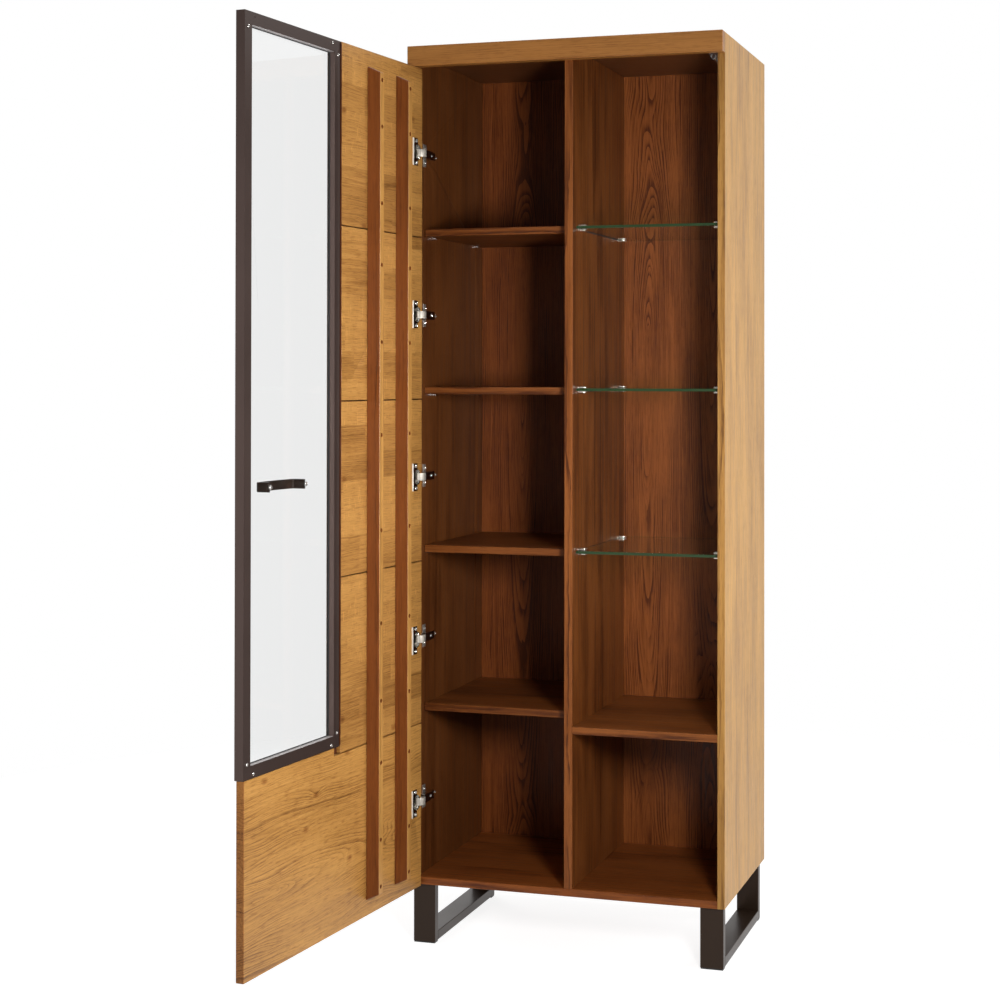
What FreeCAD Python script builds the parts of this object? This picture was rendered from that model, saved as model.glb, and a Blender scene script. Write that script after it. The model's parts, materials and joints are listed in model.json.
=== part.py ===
import FreeCAD, Part
import Sketcher
import math
import os
import re

# Tall display cabinet on two sled legs, with one full-size door of planks and framed glass.
# Millimetres, +Z up. The origin is on the floor under the middle of the carcass,
# +X is to the right and the door faces -Y. The door is modelled standing open.

SIZES = {
    # Carcass, made of oak boards
    "carcass_width": 704,
    "carcass_depth": 420,
    "carcass_height": 1830,
    "side_thick": 16,
    "top_thick": 16,
    "bottom_thick": 16,
    "divider_thick": 18,
    "divider_right": 10,
    "back_thick": 8,
    "back_recess": 3,
    "fascia_height": 44,
    "fascia_thick": 24,
    "edge_break": 0.8,
    # Shelves
    "shelf_thick": 16,
    "shelf_set_back": 40,
    "shelf_first": 204,
    "shelf_short": 4.25,
    "shelf_play": 1,
    "fixed_shelf_top": 362,
    "glass_thick": 6,
    "glass_set_back": 23,
    "glass_drop": 2,
    "glass_play": 1.5,
    # Shelf pins and glass clips
    "pin_diameter": 5,
    "pin_depth": 9,
    "pin_front": 84,
    "pin_rear": 356,
    "pin_reach": 11,
    "pin_width": 8,
    "pin_tongue": 2,
    "clip_front": 47,
    "clip_rear": 361,
    "clip_reach": 10,
    "clip_width": 13,
    "clip_jaw": 2.5,
    "clip_back": 1,
    "clip_play": 0.2,
    "hole_play": 0.1,
    # Sled legs of flat steel tube
    "leg_height": 130,
    "leg_width": 50,
    "leg_thick": 20,
    "leg_wall": 2,
    "leg_corner": 1.5,
    "leg_inset": 5,
    "leg_front": 10,
    "leg_rear": 25,
    "leg_cap": 4,
    "leg_screw_first": 12,
    "leg_screw_span": 16,
    "leg_screw_diameter": 5,
    "leg_screw_head": 9,
    "leg_screw_head_high": 3,
    "leg_screw_bite": 12,
    "glide_thick": 3,
    "glide_edge": 1,
    "glide_plug": 9,
    "glide_play": 0.2,
    # Door, in its own frame: u from the hinge edge, v outward from the wood's inner face
    "door_reveal": 2,
    "door_drop": 1,
    "door_head_gap": 4,
    "door_thick": 17,
    "door_open": 95.43,
    "plank_width": 350,
    "plank_gap": 2.5,
    "plank_low": 7.5,
    "ear_rise": 16,
    "ear_inset": 25,
    "hinge_end": 185,
    # Two battens behind the planks
    "batten_width": 17,
    "batten_depth": 30,
    "batten_near": 104.5,
    "batten_far": 228,
    "batten_end": 33,
    "batten_bevel": 14,
    "screw_diameter": 4,
    "screw_play": 0.1,
    "screw_head": 8,
    "screw_head_high": 3,
    "screw_bite": 10,
    "counterbore": 9,
    "counterbore_deep": 9,
    "screw_mid": 98,
    "screw_inner": 64,
    "screw_outer": 95,
    "screw_end_low": 131,
    "screw_end_mid": 27,
    "screw_end_high": 123,
    # Metal frame and its pane
    "frame_width": 24,
    "frame_depth": 19,
    "frame_recess": 2,
    "frame_lip": 1.7,
    "frame_wall": 1.6,
    "groove_deep": 10,
    "pane_thick": 4,
    "pane_play": 0.3,
    "gasket": 2,
    "corner_screw_in": 29,
    "corner_screw_rail_in": 34,
    "corner_screw_rail": 8,
    "corner_screw_head": 7,
    "corner_screw_high": 2.2,
    "corner_screw_diameter": 3,
    "corner_screw_bite": 8,
    # Handle
    "handle_high": 899,
    "handle_span": 128,
    "handle_width": 19,
    "handle_thick": 5,
    "handle_reach": 30,
    "handle_bend": 9,
    "handle_hole": 6,
    "handle_screw_diameter": 3,
    "handle_screw_bite": 12,
    "handle_screw_head": 9,
    "handle_screw_high": 3,
    # Concealed hinges
    "plate_thick": 2,
    "plate_wing": 14,
    "plate_span": 50,
    "plate_front": 14,
    "plate_length": 42,
    "plate_width": 14,
    "plate_rise": 13.5,
    "plate_screw_in": 37,
    "plate_screw_span": 32,
    "plate_screw_head": 7.6,
    "plate_screw_high": 2,
    "arm_wall": 1.5,
    "arm_play": 0.4,
    "arm_front": 8,
    "arm_rear": 62,
    "arm_skirt": 9,
    "arm_screw_in": 44,
    "arm_screw_head": 7,
    "arm_screw_high": 1.5,
    "arm_screw_bite": 8,
    "axis_in": 17,
    "axis_out": 1,
    "knuckle": 6,
    "knuckle_high": 10,
    "pivot_diameter": 2.4,
    "pivot_play": 0.1,
    "link_radius": 10.2,
    "link_sweep": 144,
    "link_thick": 3,
    "link_high": 16,
    "link_eye": 4.8,
    "link_turn": 113.178,
    "link_side_play": 0.2,
    "link_round_play": 0.3,
    "cup_diameter": 35,
    "cup_deep": 11.5,
    "cup_wall": 1,
    "cup_in": 22.5,
    "cup_flange": 1.2,
    "cup_flange_wide": 22.5,
    "cup_flange_high": 60,
    "cup_screw_in": 6,
    "cup_screw_span": 48,
    "cup_pin_in": 12.127,
    "cup_pin_deep": 2.5,
    "cup_pin_end": 0.25,
    "cup_play": 0.1,
    # Clear bumper in the top corner
    "bumper_wide": 20,
    "bumper_high": 22,
    "bumper_thick": 4,
    "bumper_ring": 12.5,
    "bumper_hole": 7,
    "bumper_reach": 4.7,
    "bumper_ring_in": 9.5,
    "bumper_ring_down": 7,
}

doc = FreeCAD.newDocument("display_cabinet")
sheet = doc.addObject("Spreadsheet::Sheet", "sizes")
for row, (alias, value) in enumerate(SIZES.items(), start=1):
    sheet.set(f"A{row}", alias)
    sheet.set(f"B{row}", str(value))
    sheet.setAlias(f"B{row}", alias)
doc.recompute()

# Places that many pieces share, as expressions in the sizes above
FRONT = "(-carcass_depth / 2)"
LEFT = "(-carcass_width / 2)"
INNER_LEFT = "(-carcass_width / 2 + side_thick)"
INNER_WIDTH = "(carcass_width - 2 * side_thick)"
INNER_RIGHT = "(carcass_width / 2 - side_thick)"
INNER_DEPTH = "(carcass_depth - back_recess - back_thick)"
CARCASS_TOP = "(leg_height + carcass_height)"
DIVIDER_LEFT = "(divider_right - divider_thick / 2)"
DIVIDER_RIGHT = "(divider_right + divider_thick / 2)"
DOOR_WIDTH = "(carcass_width - 2 * door_reveal)"
DOOR_BOTTOM = "(leg_height - door_drop)"
DOOR_TOP = "(leg_height + carcass_height - fascia_height - door_head_gap)"
DOOR_HEIGHT = f"({DOOR_TOP} - {DOOR_BOTTOM})"
PLANK_PITCH = f"(({DOOR_HEIGHT} - 2 * hinge_end) / 4)"
SHELF_PITCH = f"({PLANK_PITCH} - shelf_short)"
FIRST_GAP = f"({DOOR_BOTTOM} + hinge_end + {PLANK_PITCH} / 2 - plank_low)"
FRAME_BOTTOM = f"({FIRST_GAP} - plank_gap / 2 + ear_rise)"
FRAME_HEIGHT = f"({DOOR_TOP} - {FRAME_BOTTOM})"
FRAME_SPAN = f"({DOOR_WIDTH} - plank_width)"
PANE_BACK = "(frame_recess + frame_depth - frame_lip - pane_play - pane_thick)"
PANE_MIDDLE = f"(plank_width + {FRAME_SPAN} / 2)"
LINK_LENGTH = "(2 * link_radius * sin(link_sweep / 2))"
AXIS_X = f"({INNER_LEFT} + axis_in)"
AXIS_Y = f"({FRONT} - axis_out)"
CUP_PIN_X = f"({AXIS_X} + {LINK_LENGTH} * cos(link_turn))"
CUP_PIN_Y = f"({AXIS_Y} - {LINK_LENGTH} * sin(link_turn))"
DOOR_X = f"({CUP_PIN_X} - cup_pin_in * cos(door_open) + cup_pin_deep * sin(door_open))"
DOOR_Y = f"({CUP_PIN_Y} + cup_pin_in * sin(door_open) + cup_pin_deep * cos(door_open))"
HINGE_COUNT = 5
SHELF_COUNT = 4
GLASS_SHELF_COUNT = 3
TOUCH = 0.001

nodes = []


def cell(text):
    """The expression text with every size named as a cell of the sheet."""
    def name(found):
        word = found.group(0)
        return "sizes." + word if word in SIZES else word

    return re.sub(r"[a-z_]+", name, text)


def bind(thing, **expressions):
    """Bind properties of a feature to expressions."""
    for name, text in expressions.items():
        thing.setExpression(name, cell(text))


def place(thing, x="0", y="0", z="0", turn="0"):
    """Bind a placement: a position and a turn about the vertical, in degrees."""
    thing.setExpression(".Placement.Base.x", cell(x))
    thing.setExpression(".Placement.Base.y", cell(y))
    thing.setExpression(".Placement.Base.z", cell(z))
    if turn != "0":
        thing.setExpression(".Placement.Rotation.Angle", cell(turn))


def place_on_door(thing, u="0", v="0", z="0"):
    """Bind a placement given in the open door's own frame."""
    x = f"{DOOR_X} + ({u}) * cos(door_open) - ({v}) * sin(door_open)"
    y = f"{DOOR_Y} - ({u}) * sin(door_open) - ({v}) * cos(door_open)"
    place(thing, x, y, z, "-door_open")


def sub_part(thing):
    """Note a finished sub-part, whose label names its file."""
    nodes.append(thing)
    return thing


# Sketches and features of a body

def origin_plane(body, role):
    for feature in body.Origin.OriginFeatures:
        if feature.Role == role:
            return feature
    raise ValueError(role)


def sketch_on(body, role, lift="0"):
    """A sketch on one of the body's own origin planes, lifted along the plane's normal."""
    sketch = body.newObject("Sketcher::SketchObject", body.Name + "_sketch")
    sketch.AttachmentSupport = [(origin_plane(body, role), "")]
    sketch.MapMode = "FlatFace"
    if lift != "0":
        sketch.setExpression(".AttachmentOffset.Base.z", cell(lift))
    return sketch


def fix_point(sketch, geometry, vertex, place_x, place_y):
    """Hold a sketch point at two distances from the sketch's origin."""
    for kind, axis, text in (("DistanceX", -2, place_x), ("DistanceY", -1, place_y)):
        if text == "0":
            sketch.addConstraint(Sketcher.Constraint("PointOnObject", geometry, vertex, axis))
            continue
        number = sketch.addConstraint(Sketcher.Constraint(kind, -1, 1, geometry, vertex, 10.0))
        sketch.setExpression(f"Constraints[{number}]", cell(text))


def outline(sketch, points):
    """A closed outline of straight lines through points given as expressions."""
    count = len(points)
    rough = []
    for i in range(count):
        angle = 2 * math.pi * i / count
        rough.append(FreeCAD.Vector(60 + 50 * math.cos(angle), 60 + 50 * math.sin(angle), 0))
    first = sketch.GeometryCount
    for i in range(count):
        sketch.addGeometry(Part.LineSegment(rough[i], rough[(i + 1) % count]), False)
    for i in range(count):
        here = first + i
        after = first + (i + 1) % count
        sketch.addConstraint(Sketcher.Constraint("Coincident", here, 2, after, 1))
    for i, (x, y) in enumerate(points):
        fix_point(sketch, first + i, 1, x, y)


def rectangle(sketch, x0, y0, x1, y1):
    outline(sketch, [(x0, y0), (x1, y0), (x1, y1), (x0, y1)])


def pad(body, sketch, length):
    feature = body.newObject("PartDesign::Pad", body.Name + "_pad")
    feature.Profile = sketch
    bind(feature, Length=length)
    body.Tip = feature
    return feature


def pocket(body, sketch, depth, along_normal):
    """A cut that has to take something away; along_normal says which way it goes."""
    doc.recompute()
    before = body.Shape.Volume
    feature = body.newObject("PartDesign::Pocket", body.Name + "_pocket")
    feature.Profile = sketch
    feature.Reversed = along_normal
    bind(feature, Length=depth)
    body.Tip = feature
    doc.recompute()
    if not body.Shape.Volume < before:
        raise ValueError(body.Name + ": a cut took nothing away")
    return feature


# Each face of a board: its sketch plane, the lift of that plane and whether a hole follows the normal
def face_plane(face, size):
    return {
        "left": ("YZ_Plane", "0", True),
        "right": ("YZ_Plane", size[0], False),
        "front": ("XZ_Plane", "0", False),
        "back": ("XZ_Plane", f"-({size[1]})", True),
        "bottom": ("XY_Plane", "0", True),
        "top": ("XY_Plane", size[2], False),
    }[face]


def drill(body, face, size, points, diameter, depth):
    """Round holes at points on a face, measured from the board's low corner."""
    role, lift, along_normal = face_plane(face, size)
    sketch = sketch_on(body, role, lift)
    for x, y in points:
        circle = sketch.addGeometry(
            Part.Circle(FreeCAD.Vector(20, 20, 0), FreeCAD.Vector(0, 0, 1), 2.0), False
        )
        number = sketch.addConstraint(Sketcher.Constraint("Diameter", circle, 4.0))
        sketch.setExpression(f"Constraints[{number}]", cell(diameter))
        fix_point(sketch, circle, 3, x, y)
    return pocket(body, sketch, depth, along_normal)


def block(node, size):
    """A body that is one rectangular block with a corner at its origin."""
    body = doc.addObject("PartDesign::Body", node)
    sketch = sketch_on(body, "XY_Plane")
    rectangle(sketch, "0", "0", size[0], size[1])
    pad(body, sketch, size[2])
    return sub_part(body)


def break_edges(body, size="edge_break"):
    """Small chamfers along all the edges of the block."""
    doc.recompute()
    base = body.Tip
    feature = body.newObject("PartDesign::Chamfer", body.Name + "_edges")
    feature.Base = (base, [f"Edge{i + 1}" for i in range(len(base.Shape.Edges))])
    bind(feature, Size=size)
    body.Tip = feature


def upright_edge(space):
    return space.XLength < TOUCH and space.YLength < TOUCH


def lengthwise_edge(space):
    return space.XLength < TOUCH and space.ZLength < TOUCH


def round_edges(body, radius, wanted):
    """Round the edges whose bounding box passes the test."""
    doc.recompute()
    base = body.Tip
    names = [f"Edge{i + 1}" for i, edge in enumerate(base.Shape.Edges) if wanted(edge.BoundBox)]
    feature = body.newObject("PartDesign::Fillet", body.Name + "_round")
    feature.Base = (base, names)
    bind(feature, Radius=radius)
    body.Tip = feature


def board(node, size):
    body = block(node, size)
    break_edges(body)
    return body


# Part primitives, placed by expressions

def box(name, x, y, z, length, width, height):
    thing = doc.addObject("Part::Box", name)
    bind(thing, Length=length, Width=width, Height=height)
    place(thing, x, y, z)
    return thing


ALONG_X = FreeCAD.Rotation(FreeCAD.Vector(0, 1, 0), 90)
ALONG_Y = FreeCAD.Rotation(FreeCAD.Vector(1, 0, 0), -90)
ALONG_Z = FreeCAD.Rotation()


def rod(name, x, y, z, diameter, length, direction=ALONG_Z):
    """A cylinder from a point along +X, +Y or +Z."""
    thing = doc.addObject("Part::Cylinder", name)
    thing.Placement = FreeCAD.Placement(FreeCAD.Vector(), direction)
    bind(thing, Radius=f"({diameter}) / 2", Height=length)
    place(thing, x, y, z)
    return thing


def fuse(name, pieces):
    thing = doc.addObject("Part::MultiFuse", name)
    thing.Shapes = pieces
    return thing


def cut(name, base, tools):
    thing = doc.addObject("Part::Cut", name)
    thing.Base = base
    thing.Tool = tools[0] if len(tools) == 1 else fuse(name + "_tools", tools)
    return thing


def group(node, pieces):
    """A sub-part of separate, like solids."""
    thing = doc.addObject("Part::Compound", node)
    thing.Links = pieces
    return sub_part(thing)


# Heights that repeat

def hinge_height(i):
    return f"({DOOR_BOTTOM} + hinge_end + {i} * {PLANK_PITCH})"


def shelf_top(i):
    """The shelves keep clear of the hinges: the first is a step above the lowest hinge."""
    return f"({hinge_height(0)} + shelf_first + {i} * {SHELF_PITCH})"


def shelf_under(i):
    return f"({shelf_top(i)} - shelf_thick)"


def glass_under(i):
    """The glass shelves lie a little below the wooden shelves from the second one up."""
    return f"({shelf_top(i + 1)} - glass_drop - glass_thick)"


def pin_holes():
    """Places of the wooden shelves' pins on a board that starts at the carcass's bottom."""
    heights = [f"{shelf_under(i)} - leg_height - pin_diameter / 2" for i in range(SHELF_COUNT)]
    return [(y, z) for z in heights for y in ("pin_front", "pin_rear")]


def clip_holes():
    """Places of the glass shelves' clips on a board that starts at the carcass's bottom."""
    heights = [f"{glass_under(i)} - leg_height + glass_thick / 2" for i in range(GLASS_SHELF_COUNT)]
    return [(y, z) for z in heights for y in ("clip_front", "clip_rear")]


# Carcass

def carcass():
    side = ("side_thick", "carcass_depth", "carcass_height")
    left = board("left_side_panel", side)
    place(left, LEFT, FRONT, "leg_height")
    drill(left, "right", side, pin_holes(), "pin_diameter + hole_play", "pin_depth + hole_play")
    plate_holes = []
    for i in range(HINGE_COUNT):
        for way in ("-", "+"):
            height = f"{hinge_height(i)} - leg_height {way} plate_screw_span / 2"
            plate_holes.append(("plate_screw_in", height))
    drill(left, "right", side, plate_holes, "screw_diameter + screw_play", "screw_bite + screw_play")

    right = board("right_side_panel", side)
    place(right, INNER_RIGHT, FRONT, "leg_height")
    drill(right, "left", side, clip_holes(), "pin_diameter + hole_play", "pin_depth + hole_play")

    top = board("top_panel", (INNER_WIDTH, INNER_DEPTH, "top_thick"))
    place(top, INNER_LEFT, FRONT, f"{CARCASS_TOP} - top_thick")

    bottom_size = (INNER_WIDTH, INNER_DEPTH, "bottom_thick")
    bottom = board("bottom_panel", bottom_size)
    place(bottom, INNER_LEFT, FRONT, "leg_height")
    holes = [(f"{x} - {INNER_LEFT}", f"{y} - {FRONT}") for x, y in leg_screw_places()]
    hole = ("leg_screw_diameter + screw_play", "leg_screw_bite + screw_play")
    drill(bottom, "bottom", bottom_size, holes, *hole)

    fascia = board("top_front_rail", ("carcass_width", "fascia_thick", "fascia_height"))
    place(fascia, LEFT, f"{FRONT} - fascia_thick", f"{CARCASS_TOP} - fascia_height")

    divider_size = ("divider_thick", INNER_DEPTH, "(carcass_height - top_thick - bottom_thick)")
    divider = board("centre_divider", divider_size)
    place(divider, DIVIDER_LEFT, FRONT, "leg_height + bottom_thick")
    for face, holes in (("left", pin_holes()), ("right", clip_holes())):
        raised = [(y, f"{z} - bottom_thick") for y, z in holes]
        drill(divider, face, divider_size, raised, "pin_diameter + hole_play", "pin_depth + hole_play")

    back = board("back_panel", (INNER_WIDTH, "back_thick", "carcass_height"))
    place(back, INNER_LEFT, f"{FRONT} + {INNER_DEPTH}", "leg_height")


def leg_middles():
    """X of the middle of the left and the right leg."""
    reach = "(carcass_width / 2 - leg_inset - leg_width / 2)"
    return [f"(-{reach})", reach]


def upright_middles():
    """Y of the middle of the front and the rear upright."""
    return [f"({FRONT} + leg_front + leg_thick / 2)", "(carcass_depth / 2 - leg_rear - leg_thick / 2)"]


def leg_screw_rows(side):
    """X of the two screws in each upright of a leg, measured from the leg's inner side."""
    inner = "(carcass_width / 2 - leg_inset - leg_width)"
    rows = [f"({inner} + leg_screw_first)", f"({inner} + leg_screw_first + leg_screw_span)"]
    return rows if side == "right" else [f"(-{x})" for x in rows]


def leg_screw_places():
    rows = leg_screw_rows("left") + leg_screw_rows("right")
    return [(x, y) for x in rows for y in upright_middles()]


# Shelves, their pins and clips

def shelves():
    fixed = board("fixed_shelf", (f"({INNER_RIGHT} - {DIVIDER_RIGHT})", INNER_DEPTH, "shelf_thick"))
    place(fixed, DIVIDER_RIGHT, FRONT, "leg_height + fixed_shelf_top - shelf_thick")

    left_bay = f"({DIVIDER_LEFT} - {INNER_LEFT} - 2 * shelf_play)"
    depth = f"({INNER_DEPTH} - shelf_set_back - shelf_play)"
    for i in range(SHELF_COUNT):
        shelf = board(f"wood_shelf_{i + 1}", (left_bay, depth, "shelf_thick"))
        place(shelf, f"{INNER_LEFT} + shelf_play", f"{FRONT} + shelf_set_back", shelf_under(i))

    right_bay = f"({INNER_RIGHT} - {DIVIDER_RIGHT} - 2 * glass_play)"
    glass_depth = f"({INNER_DEPTH} - glass_set_back - glass_play)"
    for i in range(GLASS_SHELF_COUNT):
        shelf = board(f"glass_shelf_{i + 1}", (right_bay, glass_depth, "glass_thick"))
        place(shelf, f"{DIVIDER_RIGHT} + glass_play", f"{FRONT} + glass_set_back", glass_under(i))


def shelf_pins():
    """Each pin is a round stem in the board and a flat tongue under the shelf."""
    pins = []
    for i in range(SHELF_COUNT):
        axis = f"{shelf_under(i)} - pin_diameter / 2"
        for y in ("pin_front", "pin_rear"):
            middle = f"{FRONT} + {y}"
            for stem_x, tongue_x in (
                (f"{INNER_LEFT} - pin_depth", INNER_LEFT),
                (DIVIDER_LEFT, f"{DIVIDER_LEFT} - pin_reach"),
            ):
                stem = rod("pin_stem", stem_x, middle, axis, "pin_diameter", "pin_depth", ALONG_X)
                collar = rod("pin_collar", tongue_x, middle, axis, "pin_diameter", "pin_reach", ALONG_X)
                tongue = box(
                    "pin_tongue", tongue_x, f"{middle} - pin_width / 2",
                    f"{shelf_under(i)} - pin_tongue", "pin_reach", "pin_width", "pin_tongue",
                )
                pins.append(fuse("shelf_pin", [stem, collar, tongue]))
    group("shelf_pins", pins)


def glass_clips():
    """Each clip is a round stem in the board and a jaw that holds the glass."""
    clips = []
    for i in range(GLASS_SHELF_COUNT):
        under = glass_under(i)
        axis = f"{under} + glass_thick / 2"
        for y in ("clip_front", "clip_rear"):
            middle = f"{FRONT} + {y}"
            low_y = f"{middle} - clip_width / 2"
            for stem_x, jaw_x, back_x in (
                (f"{DIVIDER_RIGHT} - pin_depth", DIVIDER_RIGHT, DIVIDER_RIGHT),
                (INNER_RIGHT, f"{INNER_RIGHT} - clip_reach", f"{INNER_RIGHT} - clip_back"),
            ):
                stem = rod("clip_stem", stem_x, middle, axis, "pin_diameter", "pin_depth", ALONG_X)
                low = box(
                    "clip_low", jaw_x, low_y, f"{under} - clip_jaw",
                    "clip_reach", "clip_width", "clip_jaw",
                )
                high = box(
                    "clip_high", jaw_x, low_y, f"{under} + glass_thick + clip_play",
                    "clip_reach", "clip_width", "clip_jaw",
                )
                back = box(
                    "clip_back", back_x, low_y, f"{under} - clip_jaw",
                    "clip_back", "clip_width", "glass_thick + clip_play + 2 * clip_jaw",
                )
                clips.append(fuse("glass_clip", [stem, low, high, back]))
    group("glass_shelf_clips", clips)


# Legs

def legs():
    upright_high = "(leg_height - glide_thick)"
    upright_size = ("leg_width", "leg_thick", upright_high)
    rows = (("left", leg_middles()[0]), ("right", leg_middles()[1]))
    for side, x in rows:
        for end, y in zip(("front", "rear"), upright_middles()):
            upright = block(f"{side}_{end}_leg_upright", upright_size)
            round_edges(upright, "leg_corner", upright_edge)
            hollow = sketch_on(upright, "XY_Plane")
            rectangle(hollow, "leg_wall", "leg_wall", "leg_width - leg_wall", "leg_thick - leg_wall")
            pocket(upright, hollow, f"{upright_high} - leg_cap", True)
            holes = [(f"{row} - {x} + leg_width / 2", "leg_thick / 2") for row in leg_screw_rows(side)]
            drill(upright, "top", upright_size, holes, "leg_screw_diameter + screw_play", "leg_cap")
            place(upright, f"{x} - leg_width / 2", f"{y} - leg_thick / 2", "glide_thick")

            inside = "2 * leg_wall - 2 * glide_play"
            plug = (f"(leg_width - {inside})", f"(leg_thick - {inside})")
            glide = doc.addObject("PartDesign::Body", f"{side}_{end}_glide")
            foot = sketch_on(glide, "XY_Plane")
            rectangle(foot, "0", "0", "leg_width - 2 * glide_edge", "leg_thick - 2 * glide_edge")
            pad(glide, foot, "glide_thick")
            inset = "(leg_wall + glide_play - glide_edge)"
            neck = sketch_on(glide, "XY_Plane", "glide_thick")
            rectangle(neck, inset, inset, f"{inset} + {plug[0]}", f"{inset} + {plug[1]}")
            pad(glide, neck, "glide_plug")
            place(glide, f"{x} - leg_width / 2 + glide_edge", f"{y} - leg_thick / 2 + glide_edge", "0")
            sub_part(glide)

        front, rear = upright_middles()
        run = f"({rear} - {front} - leg_thick)"
        bar = doc.addObject("PartDesign::Body", f"{side}_leg_bar")
        section = sketch_on(bar, "XZ_Plane")
        rectangle(section, "0", "0", "leg_width", "leg_thick")
        pad(bar, section, run)
        round_edges(bar, "leg_corner", lengthwise_edge)
        hollow = sketch_on(bar, "XZ_Plane")
        rectangle(hollow, "leg_wall", "leg_wall", "leg_width - leg_wall", "leg_thick - leg_wall")
        pocket(bar, hollow, run, True)
        place(bar, f"{x} - leg_width / 2", f"{rear} - leg_thick / 2", "glide_thick")
        sub_part(bar)


def leg_screws():
    """Screws from inside the uprights, up through their caps into the bottom panel."""
    screws = []
    seat = "leg_height - leg_cap"
    for x, y in leg_screw_places():
        low = f"{seat} - leg_screw_head_high"
        head = rod("leg_screw_head", x, y, low, "leg_screw_head", "leg_screw_head_high")
        stem = rod("leg_screw_stem", x, y, seat, "leg_screw_diameter", "leg_cap + leg_screw_bite")
        screws.append(fuse("leg_screw", [head, stem]))
    group("leg_screws", screws)


# Door planks, bottom panel and battens

def batten_screw_offsets(i):
    """Heights of the batten screws in plank i, counted from the bottom, from its hinge's height."""
    return [
        ("-screw_end_high", "-screw_end_mid", "+screw_end_low"),
        ("-screw_outer", "+screw_inner"),
        ("-screw_mid", "+screw_mid"),
        ("-screw_inner", "+screw_outer"),
        ("-screw_end_low", "+screw_end_mid", "+screw_end_high"),
    ][i]


BATTEN_MIDDLES = ("(batten_near + batten_width / 2)", "(batten_far + batten_width / 2)")


def fit_plank(body, size, low, i):
    """The hinge cup's bore and the screw holes in the inner face of plank i."""
    hinge = f"{hinge_height(i)} - {low}"
    drill(body, "back", size, [("cup_in", hinge)], "cup_diameter + cup_play", "cup_deep + cup_play")
    holes = [(u, f"{hinge} {offset}") for u in BATTEN_MIDDLES for offset in batten_screw_offsets(i)]
    for way in ("-", "+"):
        holes.append(("cup_in + cup_screw_in", f"{hinge} {way} cup_screw_span / 2"))
    drill(body, "back", size, holes, "screw_diameter + screw_play", "screw_bite + screw_play")


def door_wood():
    """The bottom panel runs the whole width, and four planks stand above it beside the glass."""
    panel_top = f"({FIRST_GAP} - plank_gap / 2)"
    size = (DOOR_WIDTH, "door_thick", f"({panel_top} - {DOOR_BOTTOM})")
    panel = block("door_bottom_panel", size)
    ear = sketch_on(panel, "XY_Plane", size[2])
    rectangle(ear, "plank_width + ear_inset", "0", DOOR_WIDTH, "door_thick")
    pad(panel, ear, "ear_rise")
    break_edges(panel)
    fit_plank(panel, size, DOOR_BOTTOM, 0)
    place_on_door(panel, "0", "door_thick", DOOR_BOTTOM)

    for i in range(1, HINGE_COUNT):
        low = f"({FIRST_GAP} + {i - 1} * {PLANK_PITCH} + plank_gap / 2)"
        high = f"({FIRST_GAP} + {i} * {PLANK_PITCH} - plank_gap / 2)"
        if i == HINGE_COUNT - 1:
            high = DOOR_TOP
        size = ("plank_width", "door_thick", f"({high} - {low})")
        plank = board(f"door_plank_{i}", size)
        fit_plank(plank, size, low, i)
        place_on_door(plank, "0", "door_thick", low)


def battens():
    """Upright bars with bevelled ends; each screw sits deep in a counterbore."""
    low = f"({DOOR_BOTTOM} + batten_end)"
    high = f"({DOOR_TOP} - batten_end)"
    length = f"({high} - {low})"
    size = ("batten_width", "batten_depth", length)
    for number, u in enumerate(("batten_near", "batten_far"), start=1):
        body = doc.addObject("PartDesign::Body", f"door_batten_{number}")
        side = sketch_on(body, "YZ_Plane")
        outline(side, [
            ("0", "0"),
            ("batten_depth", "batten_bevel"),
            ("batten_depth", f"{length} - batten_bevel"),
            ("0", length),
        ])
        pad(body, side, "batten_width")
        break_edges(body)
        holes = []
        for i in range(HINGE_COUNT):
            for offset in batten_screw_offsets(i):
                holes.append(("batten_width / 2", f"{hinge_height(i)} - {low} {offset}"))
        drill(body, "back", size, holes, "counterbore", "counterbore_deep")
        drill(body, "back", size, holes, "screw_diameter + screw_play", "batten_depth")
        place_on_door(body, u, "0", low)
        sub_part(body)


def batten_screws():
    screws = []
    seat = "-(batten_depth - counterbore_deep)"
    for u in BATTEN_MIDDLES:
        for i in range(HINGE_COUNT):
            for offset in batten_screw_offsets(i):
                z = f"{hinge_height(i)} {offset}"
                screws.append(door_screw(
                    "batten_screw", u, z, seat, "screw_head", "screw_head_high",
                    "screw_diameter", "batten_depth - counterbore_deep + screw_bite",
                ))
    place_on_door(group("door_batten_screws", screws))


def door_screw(name, u, z, seat, head_wide, head_high, diameter, length):
    """A screw driven outward through the door; its head's underside is at v = seat."""
    head = rod(name + "_head", u, f"-({seat})", z, head_wide, head_high, ALONG_Y)
    stem = rod(name + "_stem", u, f"-({seat}) - ({length})", z, diameter, length, ALONG_Y)
    return fuse(name, [head, stem])


# Metal frame, pane, gasket and handle

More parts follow.
